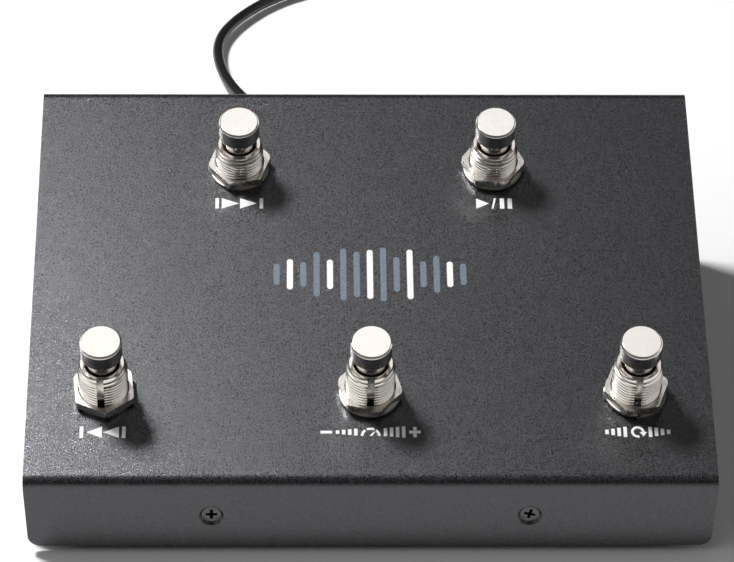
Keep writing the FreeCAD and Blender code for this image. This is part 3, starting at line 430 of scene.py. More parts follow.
PALE = Moulded("pale_moulding", (0.72, 0.71, 0.66), 0.42, variation=0.06)
SLEEVE = Moulded("wire_sleeve", (0.42, 0.03, 0.025), 0.38)
STRAP = Moulded("tie_strap", (0.022, 0.022, 0.023), 0.85, 0.12 * MM, 0.05 * MM)
WHITE_INK = PrintedInk("white_ink", (0.84, 0.84, 0.83), (0.42, 0.42, 0.43), 0.66)
BLUE_INK = PrintedInk("blue_grey_ink", (0.17, 0.21, 0.26), (0.07, 0.08, 0.10), 0.5)
LAMINATE = BoardLaminate()

Finish = PowderCoat | PlatedMetal | Moulded | PrintedInk | BoardLaminate
made_materials: dict[str, bpy.types.Material] = {}


def dress(piece: bpy.types.Object, finish: Finish) -> bpy.types.Object:
    """Give every face of a piece one finish.

    Args:
        piece: A new piece or a node of the frame.
        finish: The finish, whose material is built once.

    Returns:
        The piece.
    """
    if finish.label not in made_materials:
        made_materials[finish.label] = finish.material()
    material = made_materials[finish.label]
    if not piece.material_slots:
        piece.data.materials.append(material)
    for holder in piece.material_slots:
        holder.material = material
    return piece


def dress_nodes(finishes: Sequence[tuple[str, Finish]]) -> None:
    """Dress nodes that are carried over from the frame.

    Args:
        finishes: Names of the nodes with their finishes.
    """
    for node, finish in finishes:
        dress(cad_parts[node], finish)


# Meshes


def polar(radius: float, angle: float, height: float) -> Vector:
    """Point at a radius and an angle in radians about the Z axis."""
    return Vector((radius * math.cos(angle), radius * math.sin(angle), height))


def put_in_scene(name: str, data: bpy.types.ID) -> bpy.types.Object:
    """Make an object and put it in the scene.

    Args:
        name: The object's name.
        data: Its mesh, curve, lamp or camera.

    Returns:
        The object.
    """
    made = bpy.data.objects.new(name, data)
    bpy.context.scene.collection.objects.link(made)
    return made


def join_meshes(name: str, parts: Sequence[Form], sharp: float = 35.0) -> bpy.types.Object:
    """Make one piece of several closed meshes, smooth except at its sharp edges.

    Args:
        name: The piece's name.
        parts: Points and faces of each mesh.
        sharp: Angle in degrees above which an edge stays sharp.

    Returns:
        The piece.
    """
    points: list[Vector] = []
    faces: list[Face] = []
    for part_points, part_faces in parts:
        start = len(points)
        points += part_points
        faces += [tuple(start + i for i in face) for face in part_faces]
    mesh = bpy.data.meshes.new(name)
    mesh.from_pydata([tuple(p) for p in points], [], faces)
    work = bmesh.new()
    work.from_mesh(mesh)
    bmesh.ops.remove_doubles(work, verts=work.verts, dist=MERGE)
    bmesh.ops.recalc_face_normals(work, faces=work.faces)
    for edge in work.edges:
        edge.smooth = len(edge.link_faces) == 2 and edge.calc_face_angle() < math.radians(sharp)
    for face in work.faces:
        face.smooth = True
    work.to_mesh(mesh)
    work.free()
    return put_in_scene(name, mesh)


def ring_faces(columns: int, rows: int) -> list[Face]:
    """Faces of a grid that closes both ways, such as a ring with a closed section.

    Args:
        columns: Number of sections round the ring.
        rows: Number of points in a section.

    Returns:
        The faces, with points numbered section by section.
    """
    faces = []
    for c in range(columns):
        following = (c + 1) % columns
        for r in range(rows):
            up = (r + 1) % rows
            faces.append(
                (c * rows + r, following * rows + r, following * rows + up, c * rows + up)
            )
    return faces


def turned(profile: Outline, place: Matrix, segments: int) -> Form:
    """Turn a profile about the Z axis of a place.

    Args:
        profile: Radius and height of its corners. A radius of 0 at an end closes it at the axis.
        place: Where the turned form stands.
        segments: Number of flats round it.

    Returns:
        Points and faces.
    """
    points: list[Vector] = []
    faces: list[Face] = []
    rings: list[list[int]] = []
    for radius, height in profile:
        first = len(points)
        if radius == 0:
            points.append(place @ Vector((0, 0, height)))
            rings.append([first] * segments)
            continue
        for i in range(segments):
            points.append(place @ polar(radius, 2 * math.pi * i / segments, height))
        rings.append(list(range(first, first + segments)))
    pairs = list(zip(rings, rings[1:]))
    if profile[0][0] > 0 and profile[-1][0] > 0:
        pairs.append((rings[-1], rings[0]))
    for lower, upper in pairs:
        for i in range(segments):
            j = (i + 1) % segments
            corners = [lower[i], lower[j], upper[j], upper[i]]
            unique = tuple(dict.fromkeys(corners))
            if len(unique) > 2:
                faces.append(unique)
    return points, faces


def soften(profile: Outline, radius: float, steps: int = 4) -> Outline:
    """Round the inner corners of an open profile, with a support point on each side.

    Args:
        profile: Corners as pairs of numbers.
        radius: Length that is taken off each side of a corner.
        steps: Number of points in a rounding.

    Returns:
        The rounded profile, with the same ends.
    """
    done = [profile[0]]
    for before, corner, after in zip(profile, profile[1:], profile[2:]):
        here = Vector(corner)
        back, ahead = Vector(before) - here, Vector(after) - here
        reach_back = min(radius, back.length * ROUNDED_SHARE)
        reach_ahead = min(radius, ahead.length * ROUNDED_SHARE)
        start = here + back.normalized() * reach_back
        end = here + ahead.normalized() * reach_ahead
        rounding = [here + back.normalized() * reach_back * SUPPORT_REACH]
        for i in range(steps + 1):
            t = i / steps
            rounding.append(start * (1 - t) ** 2 + here * 2 * t * (1 - t) + end * t**2)
        rounding.append(here + ahead.normalized() * reach_ahead * SUPPORT_REACH)
        done += [(point.x, point.y) for point in rounding]
    done.append(profile[-1])
    return done


def turned_piece(
    name: str, corners: Corners, rounding: float, steps: int, place: Matrix, segments: int
) -> bpy.types.Object:
    """Turn a profile with rounded corners into a piece.

    Args:
        name: The piece's name.
        corners: Radius and height of the profile's corners, in millimetres.
        rounding: Length that is taken off each side of a corner.
        steps: Number of points in a rounding.
        place: Where the piece stands.
        segments: Number of flats round it.

    Returns:
        The piece.
    """
    profile = soften([(r * MM, h * MM) for r, h in corners], rounding, steps)
    return join_meshes(name, [turned(profile, place, segments)])


def slab(outline: Outline, place: Matrix, thickness: float) -> Form:
    """Raise a flat outline into a thin slab.

    Args:
        outline: Corners in the plane of a place.
        place: Where the slab lies.
        thickness: Its height.

    Returns:
        Points and faces.
    """
    count = len(outline)
    points = [place @ Vector((x, y, 0)) for x, y in outline]
    points += [place @ Vector((x, y, thickness)) for x, y in outline]
    faces: list[Face] = [tuple(reversed(range(count))), tuple(range(count, 2 * count))]
    for i in range(count):
        j = (i + 1) % count
        faces.append((i, j, count + j, count + i))
    return points, faces


def lofted(sections: Sequence[list[Vector]]) -> Form:
    """Join closed sections of equal point counts into one form with closed ends.

    Args:
        sections: The sections in order.

    Returns:
        Points and faces.
    """
    count = len(sections[0])
    points = [point for section in sections for point in section]
    faces: list[Face] = []
    for level in range(len(sections) - 1):
        for i in range(count):
            j = (i + 1) % count
            low, high = level * count, (level + 1) * count
            faces.append((low + i, low + j, high + j, high + i))
    faces.append(tuple(reversed(range(count))))
    faces.append(tuple(range(len(points) - count, len(points))))
    return points, faces


def rounded_rectangle(width: float, height: float, corner: float, steps: int = 6) -> Outline:
    """Outline of a rectangle with round corners, about its middle.

    Args:
        width: Its width.
        height: Its height.
        corner: Radius of its corners.
        steps: Number of flats in a corner.

    Returns:
        The corners of the outline.
    """
    corner = min(corner, width / 2 * ROUND_END, height / 2 * ROUND_END)
    outline = []
    for quarter, (sx, sy) in enumerate(((1, 1), (-1, 1), (-1, -1), (1, -1))):
        for i in range(steps + 1):
            angle = math.pi / 2 * (quarter + i / steps)
            outline.append(
                (
                    sx * (width / 2 - corner) + corner * math.cos(angle),
                    sy * (height / 2 - corner) + corner * math.sin(angle),
                )
            )
    return outline


# Case


@dataclass(frozen=True)
class SlopingPlate:
    """The plate's own frame: places along its slope and above it.

    Attributes:
        slope: Slope in degrees.
        length: Length along the slope.
        front_height: Height of its front edge.
    """

    slope: float = 15.0
    length: float = 123.0 * MM
    front_height: float = 22.5 * MM

    def place(self, x: float, along: float, above: float = 0.0, turn: float = 0.0) -> Matrix:
        """Frame of a piece that stands square to the plate.

        Args:
            x: Distance to the right of the middle.
            along: Distance up the slope from the front edge.
            above: Height above the plate.
            turn: Turn about the piece's own axis, in degrees.

        Returns:
            The frame as a matrix.
        """
        angle = math.radians(self.slope)
        y = -self.length * math.cos(angle) / 2 + along * math.cos(angle) - above * math.sin(angle)
        z = self.front_height + along * math.sin(angle) + above * math.cos(angle)
        tilt = Matrix.Rotation(angle, 4, "X") @ Matrix.Rotation(math.radians(turn), 4, "Z")
        return Matrix.Translation((x, y, z)) @ tilt


PLATE = SlopingPlate()


@dataclass
class SheetCase:
    """Cover, tray, rear screws and feet, all carried over from the frame.

    Attributes:
        finishes: The nodes with their finishes.
    """

    finishes: tuple[tuple[str, Finish], ...] = (
        ("top_cover", COAT),
        ("base_tray", TRAY_COAT),
        ("rear_cover_screws", BLACK_SCREW),
        ("press_nuts", ZINC),
        ("rubber_feet", FEET),
    )

    def build(self) -> None:
        """Dress the nodes of the case."""
        dress_nodes(self.finishes)
        log.info("case: %d nodes dressed", len(self.finishes))


@dataclass
class FrontScrews:
    """The two countersunk cross-head screws of the front flange.

    Attributes:
        spread: Distance of each from the middle.
        height: Height of their axes.
        face: How far the flange stands in front of the middle.
        recess: Depth of a head below the flange.
        head: Radius of a head.
        shank: Radius of a shank.
        length: Length below the head's top.
        arm: Reach of the cross from its middle.
        arm_half: Half the width of an arm.
        depth: Depth of the cross.
        turns: Turn of each cross in degrees.
    """

    spread: float = 38.0 * MM
    height: float = 11.75 * MM
    face: float = 59.404 * MM
    recess: float = 0.62 * MM
    head: float = 2.26 * MM
    shank: float = 1.5 * MM
    length: float = 6.75 * MM
    arm: float = 1.38 * MM
    arm_half: float = 0.36 * MM
    depth: float = 2.2 * MM
    turns: tuple[float, float] = (0.0, -15.0)

    def cross_reach(self, angle: float) -> float:
        """Distance from the middle of the cross to its outline.

        Args:
            angle: Angle about the middle in degrees.

        Returns:
            The distance.
        """
        folded = math.radians(min(angle % 90.0, 90.0 - angle % 90.0))
        if math.tan(folded) * self.arm <= self.arm_half * 1.0001:
            return self.arm / math.cos(folded)
        return self.arm_half / math.sin(folded)

    def screw(self, across: float, turn: float) -> Form:
        """One screw.

        Args:
            across: Distance to the right of the middle.
            turn: Turn of its cross in degrees.

        Returns:
            Points and faces.
        """
        place = Matrix.Translation((across, -self.face + self.recess, self.height))
        place = place @ Matrix.Rotation(math.pi / 2, 4, "X")
        place = place @ Matrix.Rotation(math.radians(turn), 4, "Z")
        corner = math.degrees(math.atan2(self.arm_half, self.arm))
        eighth = [0.0, corner / 2, corner, 20.0, 28.0, 36.0, 45.0]
        quarter = eighth + [90.0 - a for a in eighth[-2:0:-1]]
        angles = [a + 90.0 * part for part in range(4) for a in quarter]
        round_rings = [
            (self.shank - 0.15 * MM, -self.length),
            (self.shank, -self.length + 0.15 * MM),
            (self.shank, self.shank - self.head),
            (self.head - 0.03 * MM, -0.06 * MM),
            (self.head, -0.02 * MM),
            (self.head - 0.06 * MM, 0.0),
        ]
        # Shares of the cross's reach, from its rounded brim down to its floor
        cross_rings = [(1.05, 0.0), (1.0, -0.04 * MM), (0.92, -self.depth)]
        sections = [
            [place @ polar(radius, math.radians(a), height) for a in angles]
            for radius, height in round_rings
        ]
        sections += [
            [place @ polar(self.cross_reach(a) * share, math.radians(a), height) for a in angles]
            for share, height in cross_rings
        ]
        return lofted(sections)

    def build(self) -> None:
        """Make both screws as one piece."""
        places = zip((-self.spread, self.spread), self.turns)
        screws = [self.screw(across, turn) for across, turn in places]
        piece = dress(join_meshes("front_screws", screws), BLACK_SCREW)
        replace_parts(piece, "front_cover_screws")
        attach(piece, CASE)
        log.info("front screws: %d", len(screws))


@dataclass
class PlatePrint:
    """White pictograms below the footswitches and a plain row of level bars in the middle.

    Attributes:
        height: Height of a pictogram.
        drop: Distance from a footswitch's axis to the middle of its pictogram.
        film: Thickness of the ink.
        bar_count: Number of level bars.
        bar_pitch: Distance between bars.
        bar_width: Width of a bar.
        bar_reach: Length of the longest bar, less its width.
        row_reach: Half the length of the row, in bars, over which they shorten.
        least_swing: Least share of its full length that a bar has.
        swing_step: Step from bar to bar of the wave that sets their lengths, in radians.
        swing_start: Where that wave starts.
        middle: Place of the row of bars: to the right, and up the slope.
        line: Width of a drawn line, as a share of a pictogram's height.
        half_widths: Half the width of each footswitch's pictogram.
    """

    height: float = 3.3 * MM
    drop: float = 11.3 * MM
    film: float = 0.03 * MM
    bar_count: int = 15
    bar_pitch: float = 3.3 * MM
    bar_width: float = 1.5 * MM
    bar_reach: float = 17.0 * MM
    row_reach: float = 9.5
    least_swing: float = 0.45
    swing_step: float = 1.35
    swing_start: float = 0.7
    middle: tuple[float, float] = (0.5 * MM, 62.0 * MM)
    line: float = 0.19
    half_widths: tuple[tuple[SwitchName, float], ...] = (
        (SwitchName.FRONT_LEFT, 5.5 * MM),
        (SwitchName.FRONT_MIDDLE, 12.0 * MM),
        (SwitchName.FRONT_RIGHT, 7.8 * MM),
        (SwitchName.REAR_LEFT, 6.0 * MM),
        (SwitchName.REAR_RIGHT, 4.5 * MM),
    )

    def wedge(self, base: float, tip: float) -> Outline:
        """Triangle that points from its base to its tip."""
        half = self.height / 2
        return [(base, -half), (tip, 0.0), (base, half)]

    def stroke(self, x: float, width: float, share: float = 1.0, lift: float = 0.0) -> Outline:
        """Upright bar.

        Args:
            x: Place of its middle.
            width: Its width.
            share: Its share of a pictogram's height.
            lift: How much higher than the middle it stands.

        Returns:
            Its outline.
        """
        half = self.height / 2 * share
        left, right, low, high = x - width / 2, x + width / 2, lift - half, lift + half
        return [(left, low), (right, low), (right, high), (left, high)]

    def bow(self, radius: float, width: float, start: float, end: float) -> Outline:
        """Open ring.

        Args:
            radius: Radius of its middle line.
            width: Width of its line.
            start: Angle at which it starts, in degrees.
            end: Angle at which it ends.

        Returns:
            Its outline.
        """
        steps = 28
        angles = [math.radians(start + (end - start) * i / steps) for i in range(steps + 1)]
        far, near = radius + width / 2, radius - width / 2
        outer = [(far * math.cos(a), far * math.sin(a)) for a in angles]
        inner = [(near * math.cos(a), near * math.sin(a)) for a in angles]
        return outer + inner[::-1]

    def skip_sign(self, half: float) -> list[Outline]:
        """Two triangles between two bars, which point to the right.

        Args:
            half: Half its width.

        Returns:
            Outlines about the middle.
        """
        bar = 0.9 * MM
        inner = half - 1.6 * MM
        return [
            self.stroke(-half + bar / 2, bar),
            self.wedge(-inner, -0.1 * MM),
            self.wedge(0.2 * MM, inner),
            self.stroke(half - bar / 2, bar),
        ]

    def play_sign(self, half: float) -> list[Outline]:
        """Triangle, slash and two bars.

        Args:
            half: Half its width.

        Returns:
            Outlines about the middle.
        """
        slash = [(-0.7, -0.5), (-0.2, -0.5), (0.5, 0.5), (0.0, 0.5)]
        return [
            self.wedge(-half, -half + 3.2 * MM),
            [(x * MM, y * self.height) for x, y in slash],
            self.stroke(half - 2.5 * MM, 1.1 * MM),
            self.stroke(half - 0.55 * MM, 1.1 * MM),
        ]

    def loop_sign(self, half: float) -> list[Outline]:
        """Ring with an arrow head between rows of short bars.

        Args:
            half: Half its width.

        Returns:
            Outlines about the middle.
        """
        radius = self.height * 0.40
        width = self.height * self.line
        head = self.height * 0.27
        tip = [(radius - head, -0.02 * MM), (radius + head, -0.02 * MM), (radius, -head * 1.5)]
        sign = [self.bow(radius, width, 0.0, 285.0), tip]
        for x in (2.9, 4.3, 5.7, 7.1):
            tall = 0.9 - 0.12 * (x - 2.9)
            sign += [self.stroke(side * x / 7.5 * half, 0.85 * MM, tall) for side in (-1, 1)]
        return sign

    def level_sign(self, half: float) -> list[Outline]:
        """Minus, gauge and plus, with bars that grow towards the plus.

        Args:
            half: Half its width.

        Returns:
            Outlines about the middle.
        """
        width = self.height * self.line
        sign = [self.stroke(side * (half - 1.4 * MM), 2.8 * MM, 0.24) for side in (-1, 1)]
        sign += [
            self.stroke(half - 1.4 * MM, 0.8 * MM, 0.31, lift) for lift in (-1.0 * MM, 1.0 * MM)
        ]
        for i in range(4):
            sign.append(self.stroke(-(7.9 - i * 1.45) * MM, 0.85 * MM, 0.3 + 0.1 * i))
            sign.append(self.stroke((3.55 + i * 1.45) * MM, 0.85 * MM, 0.7 + 0.1 * i))
        radius = self.height * 0.62
        marks = [self.bow(radius, width, a, a + 52.0) for a in (0.0, 64.0, 128.0)]
        needle = [(-width / 2, 0.0), (width / 2, 0.0), (1.1 * MM, 1.1 * MM), (0.85 * MM, 1.25 * MM)]
        sign += [[(x, y - 0.33 * self.height) for x, y in form] for form in [*marks, needle]]
        return sign

    def pictogram(self, switch: SwitchName) -> list[Outline]:
        """Outlines of one footswitch's sign.

        Args:
            switch: The footswitch.

        Returns:
            Outlines about the middle of the sign.
        """
        half = dict(self.half_widths)[switch]
        if switch is SwitchName.FRONT_LEFT:
            return [[(-x, y) for x, y in form] for form in self.skip_sign(half)]
        signs = {
            SwitchName.FRONT_MIDDLE: self.level_sign,
            SwitchName.FRONT_RIGHT: self.loop_sign,
            SwitchName.REAR_LEFT: self.skip_sign,
            SwitchName.REAR_RIGHT: self.play_sign,
        }
        return signs[switch](half)

    def build(self, switches: Sequence["Footswitch"]) -> None:
        """Make the print.

        Args:
            switches: The footswitches, for their places.
        """
        signs = []
        for switch in switches:
            place = PLATE.place(switch.x, switch.along - self.drop)
            signs += [slab(outline, place, self.film) for outline in self.pictogram(switch.name)]
        labels = join_meshes("plate_signs", signs)
        dress(labels, WHITE_INK)
        white, blue = [], []
        for i in range(self.bar_count):
            offset = i - (self.bar_count - 1) / 2
            wave = abs(math.sin(i * self.swing_step + self.swing_start))
            swing = wave * (1 - self.least_swing) + self.least_swing
            fall = 1 - (abs(offset) / self.row_reach) ** 1.5
            tall = self.bar_width + self.bar_reach * swing * fall
            outline = rounded_rectangle(self.bar_width, tall, self.bar_width / 2)
            place = PLATE.place(self.middle[0] + offset * self.bar_pitch, self.middle[1])
            (white if i % 3 == 1 else blue).append(slab(outline, place, self.film))
        bars = dress(join_meshes("plate_level_bars_white", white), WHITE_INK)
        more = dress(join_meshes("plate_level_bars_blue", blue), BLUE_INK)
        for piece in (labels, bars, more):
            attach(piece, CASE)
        log.info("print: %d signs and %d level bars", len(switches), self.bar_count)


# Footswitches


@dataclass(frozen=True)
class Upright:
    """One upright row of points on a bushing.

    Attributes:
        angle: Its angle from the keyway, in radians.
        lift: Share of a thread's pitch by which its points are raised.
        across: Its place on the floor of the keyway, or nothing for one on the thread.
    """

    angle: float
    lift: float
    across: float | None = None


@dataclass
class Footswitch:
    """One footswitch: threaded bushing, plunger and button.

    Attributes:
        name: Which footswitch it is.
        x: Distance to the right of the middle.
        along: Distance up the slope.
        drop: How much lower it sits in the plate.
        key_turn: Turn of the keyway from the front, in degrees.
        nut_turn: Turn of the hexagon nut.
        split_turn: Turn of the washer's split.
        open_gap: How far the split washer stands open.
        washer_radius: Outer radius of the washer.
        thread_radius: Radius of the thread's crest.
        thread_pitch: Distance between its turns.
        thread_depth: Depth of its groove.
        crest_end: Share of a pitch at which the crest ends.
        root_start: Share at which the bottom of the groove starts.
        root_end: Share at which the bottom ends.
        run_out: Height over which the groove fades at the top.
        bore: Radius of the bore.
        top: Height of the bushing's top above the plate.
        land: Radius of the flat ring on its top.
        chamfer: Height of the cone below that ring.
        shoulder: Height at which the thread ends.
        base: Height of the underside of its base.
        base_radius: Radius of its base.
        key_half: Half the width of the keyway.
        key_floor: Distance of the keyway's floor from the axis.
        thread_uprights: Number of steps round the thread.
        stem_corners: Profile of the collar, stem and pin, in millimetres.
        cap_corners: Profile of the button, from its hole to the bevel round its top.
    """

    name: SwitchName
    x: float
    along: float
    drop: float = 0.0
    key_turn: float = 0.0
    nut_turn: float = 0.0
    split_turn: float = 0.0
    open_gap: float = 0.0
    washer_radius: float = 7.5 * MM
    thread_radius: float = 5.98 * MM
    thread_pitch: float = 1.0 * MM
    thread_depth: float = 0.52 * MM
    crest_end: float = 0.25
    root_start: float = 0.52
    root_end: float = 0.70
    run_out: float = 0.4 * MM
    bore: float = 4.1 * MM
    top: float = 12.6 * MM
    land: float = 5.2 * MM
    chamfer: float = 2.2 * MM
    shoulder: float = -3.9 * MM
    base: float = -4.9 * MM
    base_radius: float = 7.6 * MM
    key_half: float = 0.875 * MM
    key_floor: float = 4.8 * MM
    thread_uprights: int = 150
    stem_corners: tuple[tuple[float, float], ...] = (
        (0.0, -6.4),
        (5.0, -6.4),
        (5.0, -5.2),
        (3.75, -5.2),
        (3.75, 16.1),
        (2.0, 16.1),
        (2.0, 19.5),
        (0.0, 19.5),
    )
    cap_corners: tuple[tuple[float, float], ...] = (
        (0.0, 19.55),
        (2.05, 19.55),
        (2.05, 16.1),
        (4.75, 16.1),
        (5.0, 16.4),
        (5.0, 20.6),
        (4.64, 21.1),
        (0.0, 21.1),
    )

    def thread_at(self, turn: float, height: float) -> float:
        """Radius of the threaded surface.

        Args:
            turn: Angle about the axis in radians.
            height: Height above the plate.

        Returns:
            The radius, which narrows in a cone towards the top.
        """
        phase = (height / self.thread_pitch - turn / (2 * math.pi)) % 1.0
        falling = (phase - self.crest_end) / (self.root_start - self.crest_end)
        rising = (1 - phase) / (1 - self.root_end)
        below_top = self.top - height
        depth = self.thread_depth * min(1.0, below_top / self.run_out)
        cone = self.land + (self.thread_radius - self.land) * below_top / self.chamfer
        return min(self.thread_radius, cone) - depth * min(1.0, max(0.0, min(falling, rising)))

    def key_edge(self) -> float:
        """Angle in radians from the middle of the keyway to its edge."""
        return math.asin(self.key_half / self.thread_radius)

    def outside(self, upright: Upright, height: float) -> Vector:
        """Point on the outside of the bushing, in the plane across its axis.

        Args:
            upright: The upright that it is on.
            height: Height above the plate.

        Returns:
            The point.
        """
        if upright.across is not None:
            return Vector((upright.across, -self.key_floor))
        angle = upright.angle
        radius = self.thread_at(angle, height)
        from_key = abs((angle + math.pi) % (2 * math.pi) - math.pi)
        if abs(from_key - self.key_edge()) < 1e-6:
            across = math.copysign(self.key_half, math.sin(angle))
            return Vector((across, -math.sqrt(radius**2 - across**2)))
        return Vector((radius * math.sin(angle), -radius * math.cos(angle)))

    def uprights(self) -> list[Upright]:
        """Uprights round the bushing, first those on the thread and then the keyway's floor.

        Returns:
            The uprights in order.
        """
        edge = self.key_edge()
        made = []
        for i in range(self.thread_uprights + 1):
            angle = edge + (2 * math.pi - 2 * edge) * i / self.thread_uprights
            made.append(Upright(angle, angle / (2 * math.pi)))
        inner = math.atan2(self.key_half, self.key_floor) * 0.8
        for i in range(7):
            share = 1 - 2 * i / 6
            angle = 2 * math.pi - inner * share
            made.append(Upright(angle, 0.5 + 0.4 * share, -self.key_half * share))
        return made

    def bushing(self) -> bpy.types.Object:
        """Threaded bushing with a keyway, a bore and the base below the plate.

        Returns:
            The piece.
        """
        name = f"{self.name.value}_threaded_bushing"
        place = PLATE.place(self.x, self.along, -self.drop, self.key_turn)
        lowest = math.floor(self.shoulder / self.thread_pitch) - 1
        highest = math.ceil(self.top / self.thread_pitch)
        marks = [
            number + part
            for number in range(lowest, highest + 1)
            for part in (0.0, self.crest_end, self.root_start, self.root_end)
        ]
        inside = soften(
            [
                (self.land, self.top),
                (self.bore + 0.25 * MM, self.top),
                (self.bore, self.top - 0.25 * MM),
                (self.bore, self.base),
                (self.base_radius, self.base),
                (self.base_radius, self.shoulder),
            ],
            0.1 * MM,
            2,
        )[1:]
        points = []
        uprights = self.uprights()
        for upright in uprights:
            for mark in marks:
                height = (mark + upright.lift) * self.thread_pitch
                height = min(self.top, max(self.shoulder, height))
                flat = self.outside(upright, height)
                points.append(place @ Vector((flat.x, flat.y, height)))
            across, ahead = math.sin(upright.angle), -math.cos(upright.angle)
            points += [place @ Vector((r * across, r * ahead, h)) for r, h in inside]
        faces = ring_faces(len(uprights), len(marks) + len(inside))
        return join_meshes(name, [(points, faces)], 40.0)

    def build(self) -> None:
        """Make the bushing, plunger and button, and dress what stays of the frame."""
        name = self.name.value
        button = f"{name}_button"
        place = PLATE.place(self.x, self.along, -self.drop)
        bushing = dress(self.bushing(), NICKEL)
        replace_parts(bushing, f"{name}_bushing")
        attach(bushing, CASE)
        stem = turned_piece(f"{name}_stem", self.stem_corners, 0.15 * MM, 3, place, 96)
        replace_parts(dress(stem, POLISHED), f"{name}_plunger")
        cap = turned_piece(f"{name}_push_button", self.cap_corners, 0.1 * MM, 4, place, 128)
        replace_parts(dress(cap, POLISHED), f"{name}_cap")
        for piece in (stem, cap):
            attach(piece, button)
        kept = (("contact_block", BLOCK), ("terminals", TINNED), ("return_spring", SPRING_WIRE))
        dress_nodes([(f"{name}_{node}", finish) for node, finish in kept])
        log.info("footswitch %s: bushing, stem and button", name)


@dataclass
class Fasteners:
    """Hexagon nuts and split washers of the five bushings.

    Attributes:
        flats: Width of a nut across its flats.
        nut_height: Height of a nut.
        nut_bore: Radius of its bore.
        nut_bevel: Radius at which its top starts to fall away.
        bevel_slope: Slope of that fall, in degrees.
        under_share: Share of that fall on its lower face.
        corner_cut: How much its corners are blunted.
        washer_bore: Inner radius of a washer.
        washer_height: Its thickness.
        washer_corner: Rounding of its edges.
        split: Width of its split.
        split_lean: Lean of the split, in radians about the axis for a metre of height.
    """

    flats: float = 14.0 * MM
    nut_height: float = 2.1 * MM
    nut_bore: float = 6.02 * MM
    nut_bevel: float = 7.75 * MM
    bevel_slope: float = 25.0
    under_share: float = 0.6
    corner_cut: float = 0.12 * MM
    washer_bore: float = 6.25 * MM
    washer_height: float = 0.9 * MM
    washer_corner: float = 0.12 * MM
    split: float = 1.0 * MM
    split_lean: float = 180.0

    def nut(self, place: Matrix) -> Form:
        """Hexagon nut whose corners fall away by a cone on both faces.

        Args:
            place: Where its lower face lies.

        Returns:
            Points and faces.
        """
        columns = 144
        fall = math.tan(math.radians(self.bevel_slope))
        widest = self.flats / 2 / math.cos(math.pi / 6) - self.corner_cut
        points = []
        for i in range(columns):
            angle = 2 * math.pi * i / columns
            from_flat = (angle % (math.pi / 3)) - math.pi / 6
            rim = min(self.flats / 2 / math.cos(from_flat), widest)
            bevel = min(self.nut_bevel, rim)
            section: Outline = []
            for step in range(5):
                radius = bevel + (rim - bevel) * step / 4
                fallen = max(0.0, radius - self.nut_bevel) * fall
                section.append((radius, fallen * self.under_share))
            for step in range(5):
                radius = rim + (bevel - rim) * step / 4
                fallen = max(0.0, radius - self.nut_bevel) * fall
                section.append((radius, self.nut_height - fallen))
            # The bore, with a small chamfer at its top
            section += [
                (self.nut_bore + 0.20 * MM, self.nut_height),
                (self.nut_bore + 0.03 * MM, self.nut_height - 0.25 * MM),
                (self.nut_bore, self.nut_height - 0.45 * MM),
                (self.nut_bore, 0.0),
            ]
            points += [place @ polar(radius, angle, height) for radius, height in section]
        return points, ring_faces(columns, len(points) // columns)

    def washer(self, place: Matrix, radius: float, gap: float) -> Form:
        """Split spring washer with slightly rounded edges.

        Args:
            place: Where its lower face lies, with the split towards +X.
            radius: Its outer radius.
            gap: How much higher its last end stands than its first.

        Returns:
            Points and faces.
        """
        half = math.asin(self.split / 2 / radius)
        width, height = radius - self.washer_bore, self.washer_height
        outline = rounded_rectangle(width, height, self.washer_corner, 3)
        middle = (radius + self.washer_bore) / 2
        lean = self.split_lean
        count = 120
        sections = []
        for i in range(count + 1):
            angle = half + (2 * math.pi - 2 * half) * i / count
            ring = [
                polar(middle + x, angle + z * lean, z + height / 2 + gap * i / count)
                for x, z in outline
            ]
            sections.append([place @ point for point in ring])
        return lofted(sections)

    def build(self, switches: Sequence[Footswitch]) -> None:
        """Make the nuts and washers.

        Args:
            switches: The footswitches that they hold.
        """
        nuts, washers = [], []
        for switch in switches:
            seat = self.washer_height + switch.open_gap
            nuts.append(self.nut(PLATE.place(switch.x, switch.along, seat, switch.nut_turn)))
            place = PLATE.place(switch.x, switch.along, 0.0, switch.split_turn)
            washers.append(self.washer(place, switch.washer_radius, switch.open_gap))
        for name, parts, node, finish in (
            ("hexagon_nuts", nuts, "hex_nuts", SATIN),
            ("split_washers", washers, "lock_washers", DULL),
        ):
            piece = dress(join_meshes(name, parts, 22.0), finish)
            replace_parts(piece, node)
            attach(piece, CASE)
        dress(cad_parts["inner_nuts"], ZINC)
        log.info("fasteners: %d nuts and washers", len(switches))


# Electronics


@dataclass
class Electronics:
    """Board, its screws and the wires inside the case, carried over from the frame.

    Attributes:
        finishes: The nodes with their finishes.
    """

    finishes: tuple[tuple[str, Finish], ...] = (
        ("circuit_board", LAMINATE),
        ("board_standoffs", ZINC),
        ("board_screws", ZINC),
        ("controller_chip", BLOCK),
        ("wire_headers", PALE),
        ("lead_socket", PALE),
        ("switch_wires", SLEEVE),
        ("inner_lead", JACKET),
    )

    def build(self) -> None:
        """Dress the nodes inside the case."""
        dress_nodes(self.finishes)
        log.info("electronics: %d nodes dressed", len(self.finishes))


# Lead


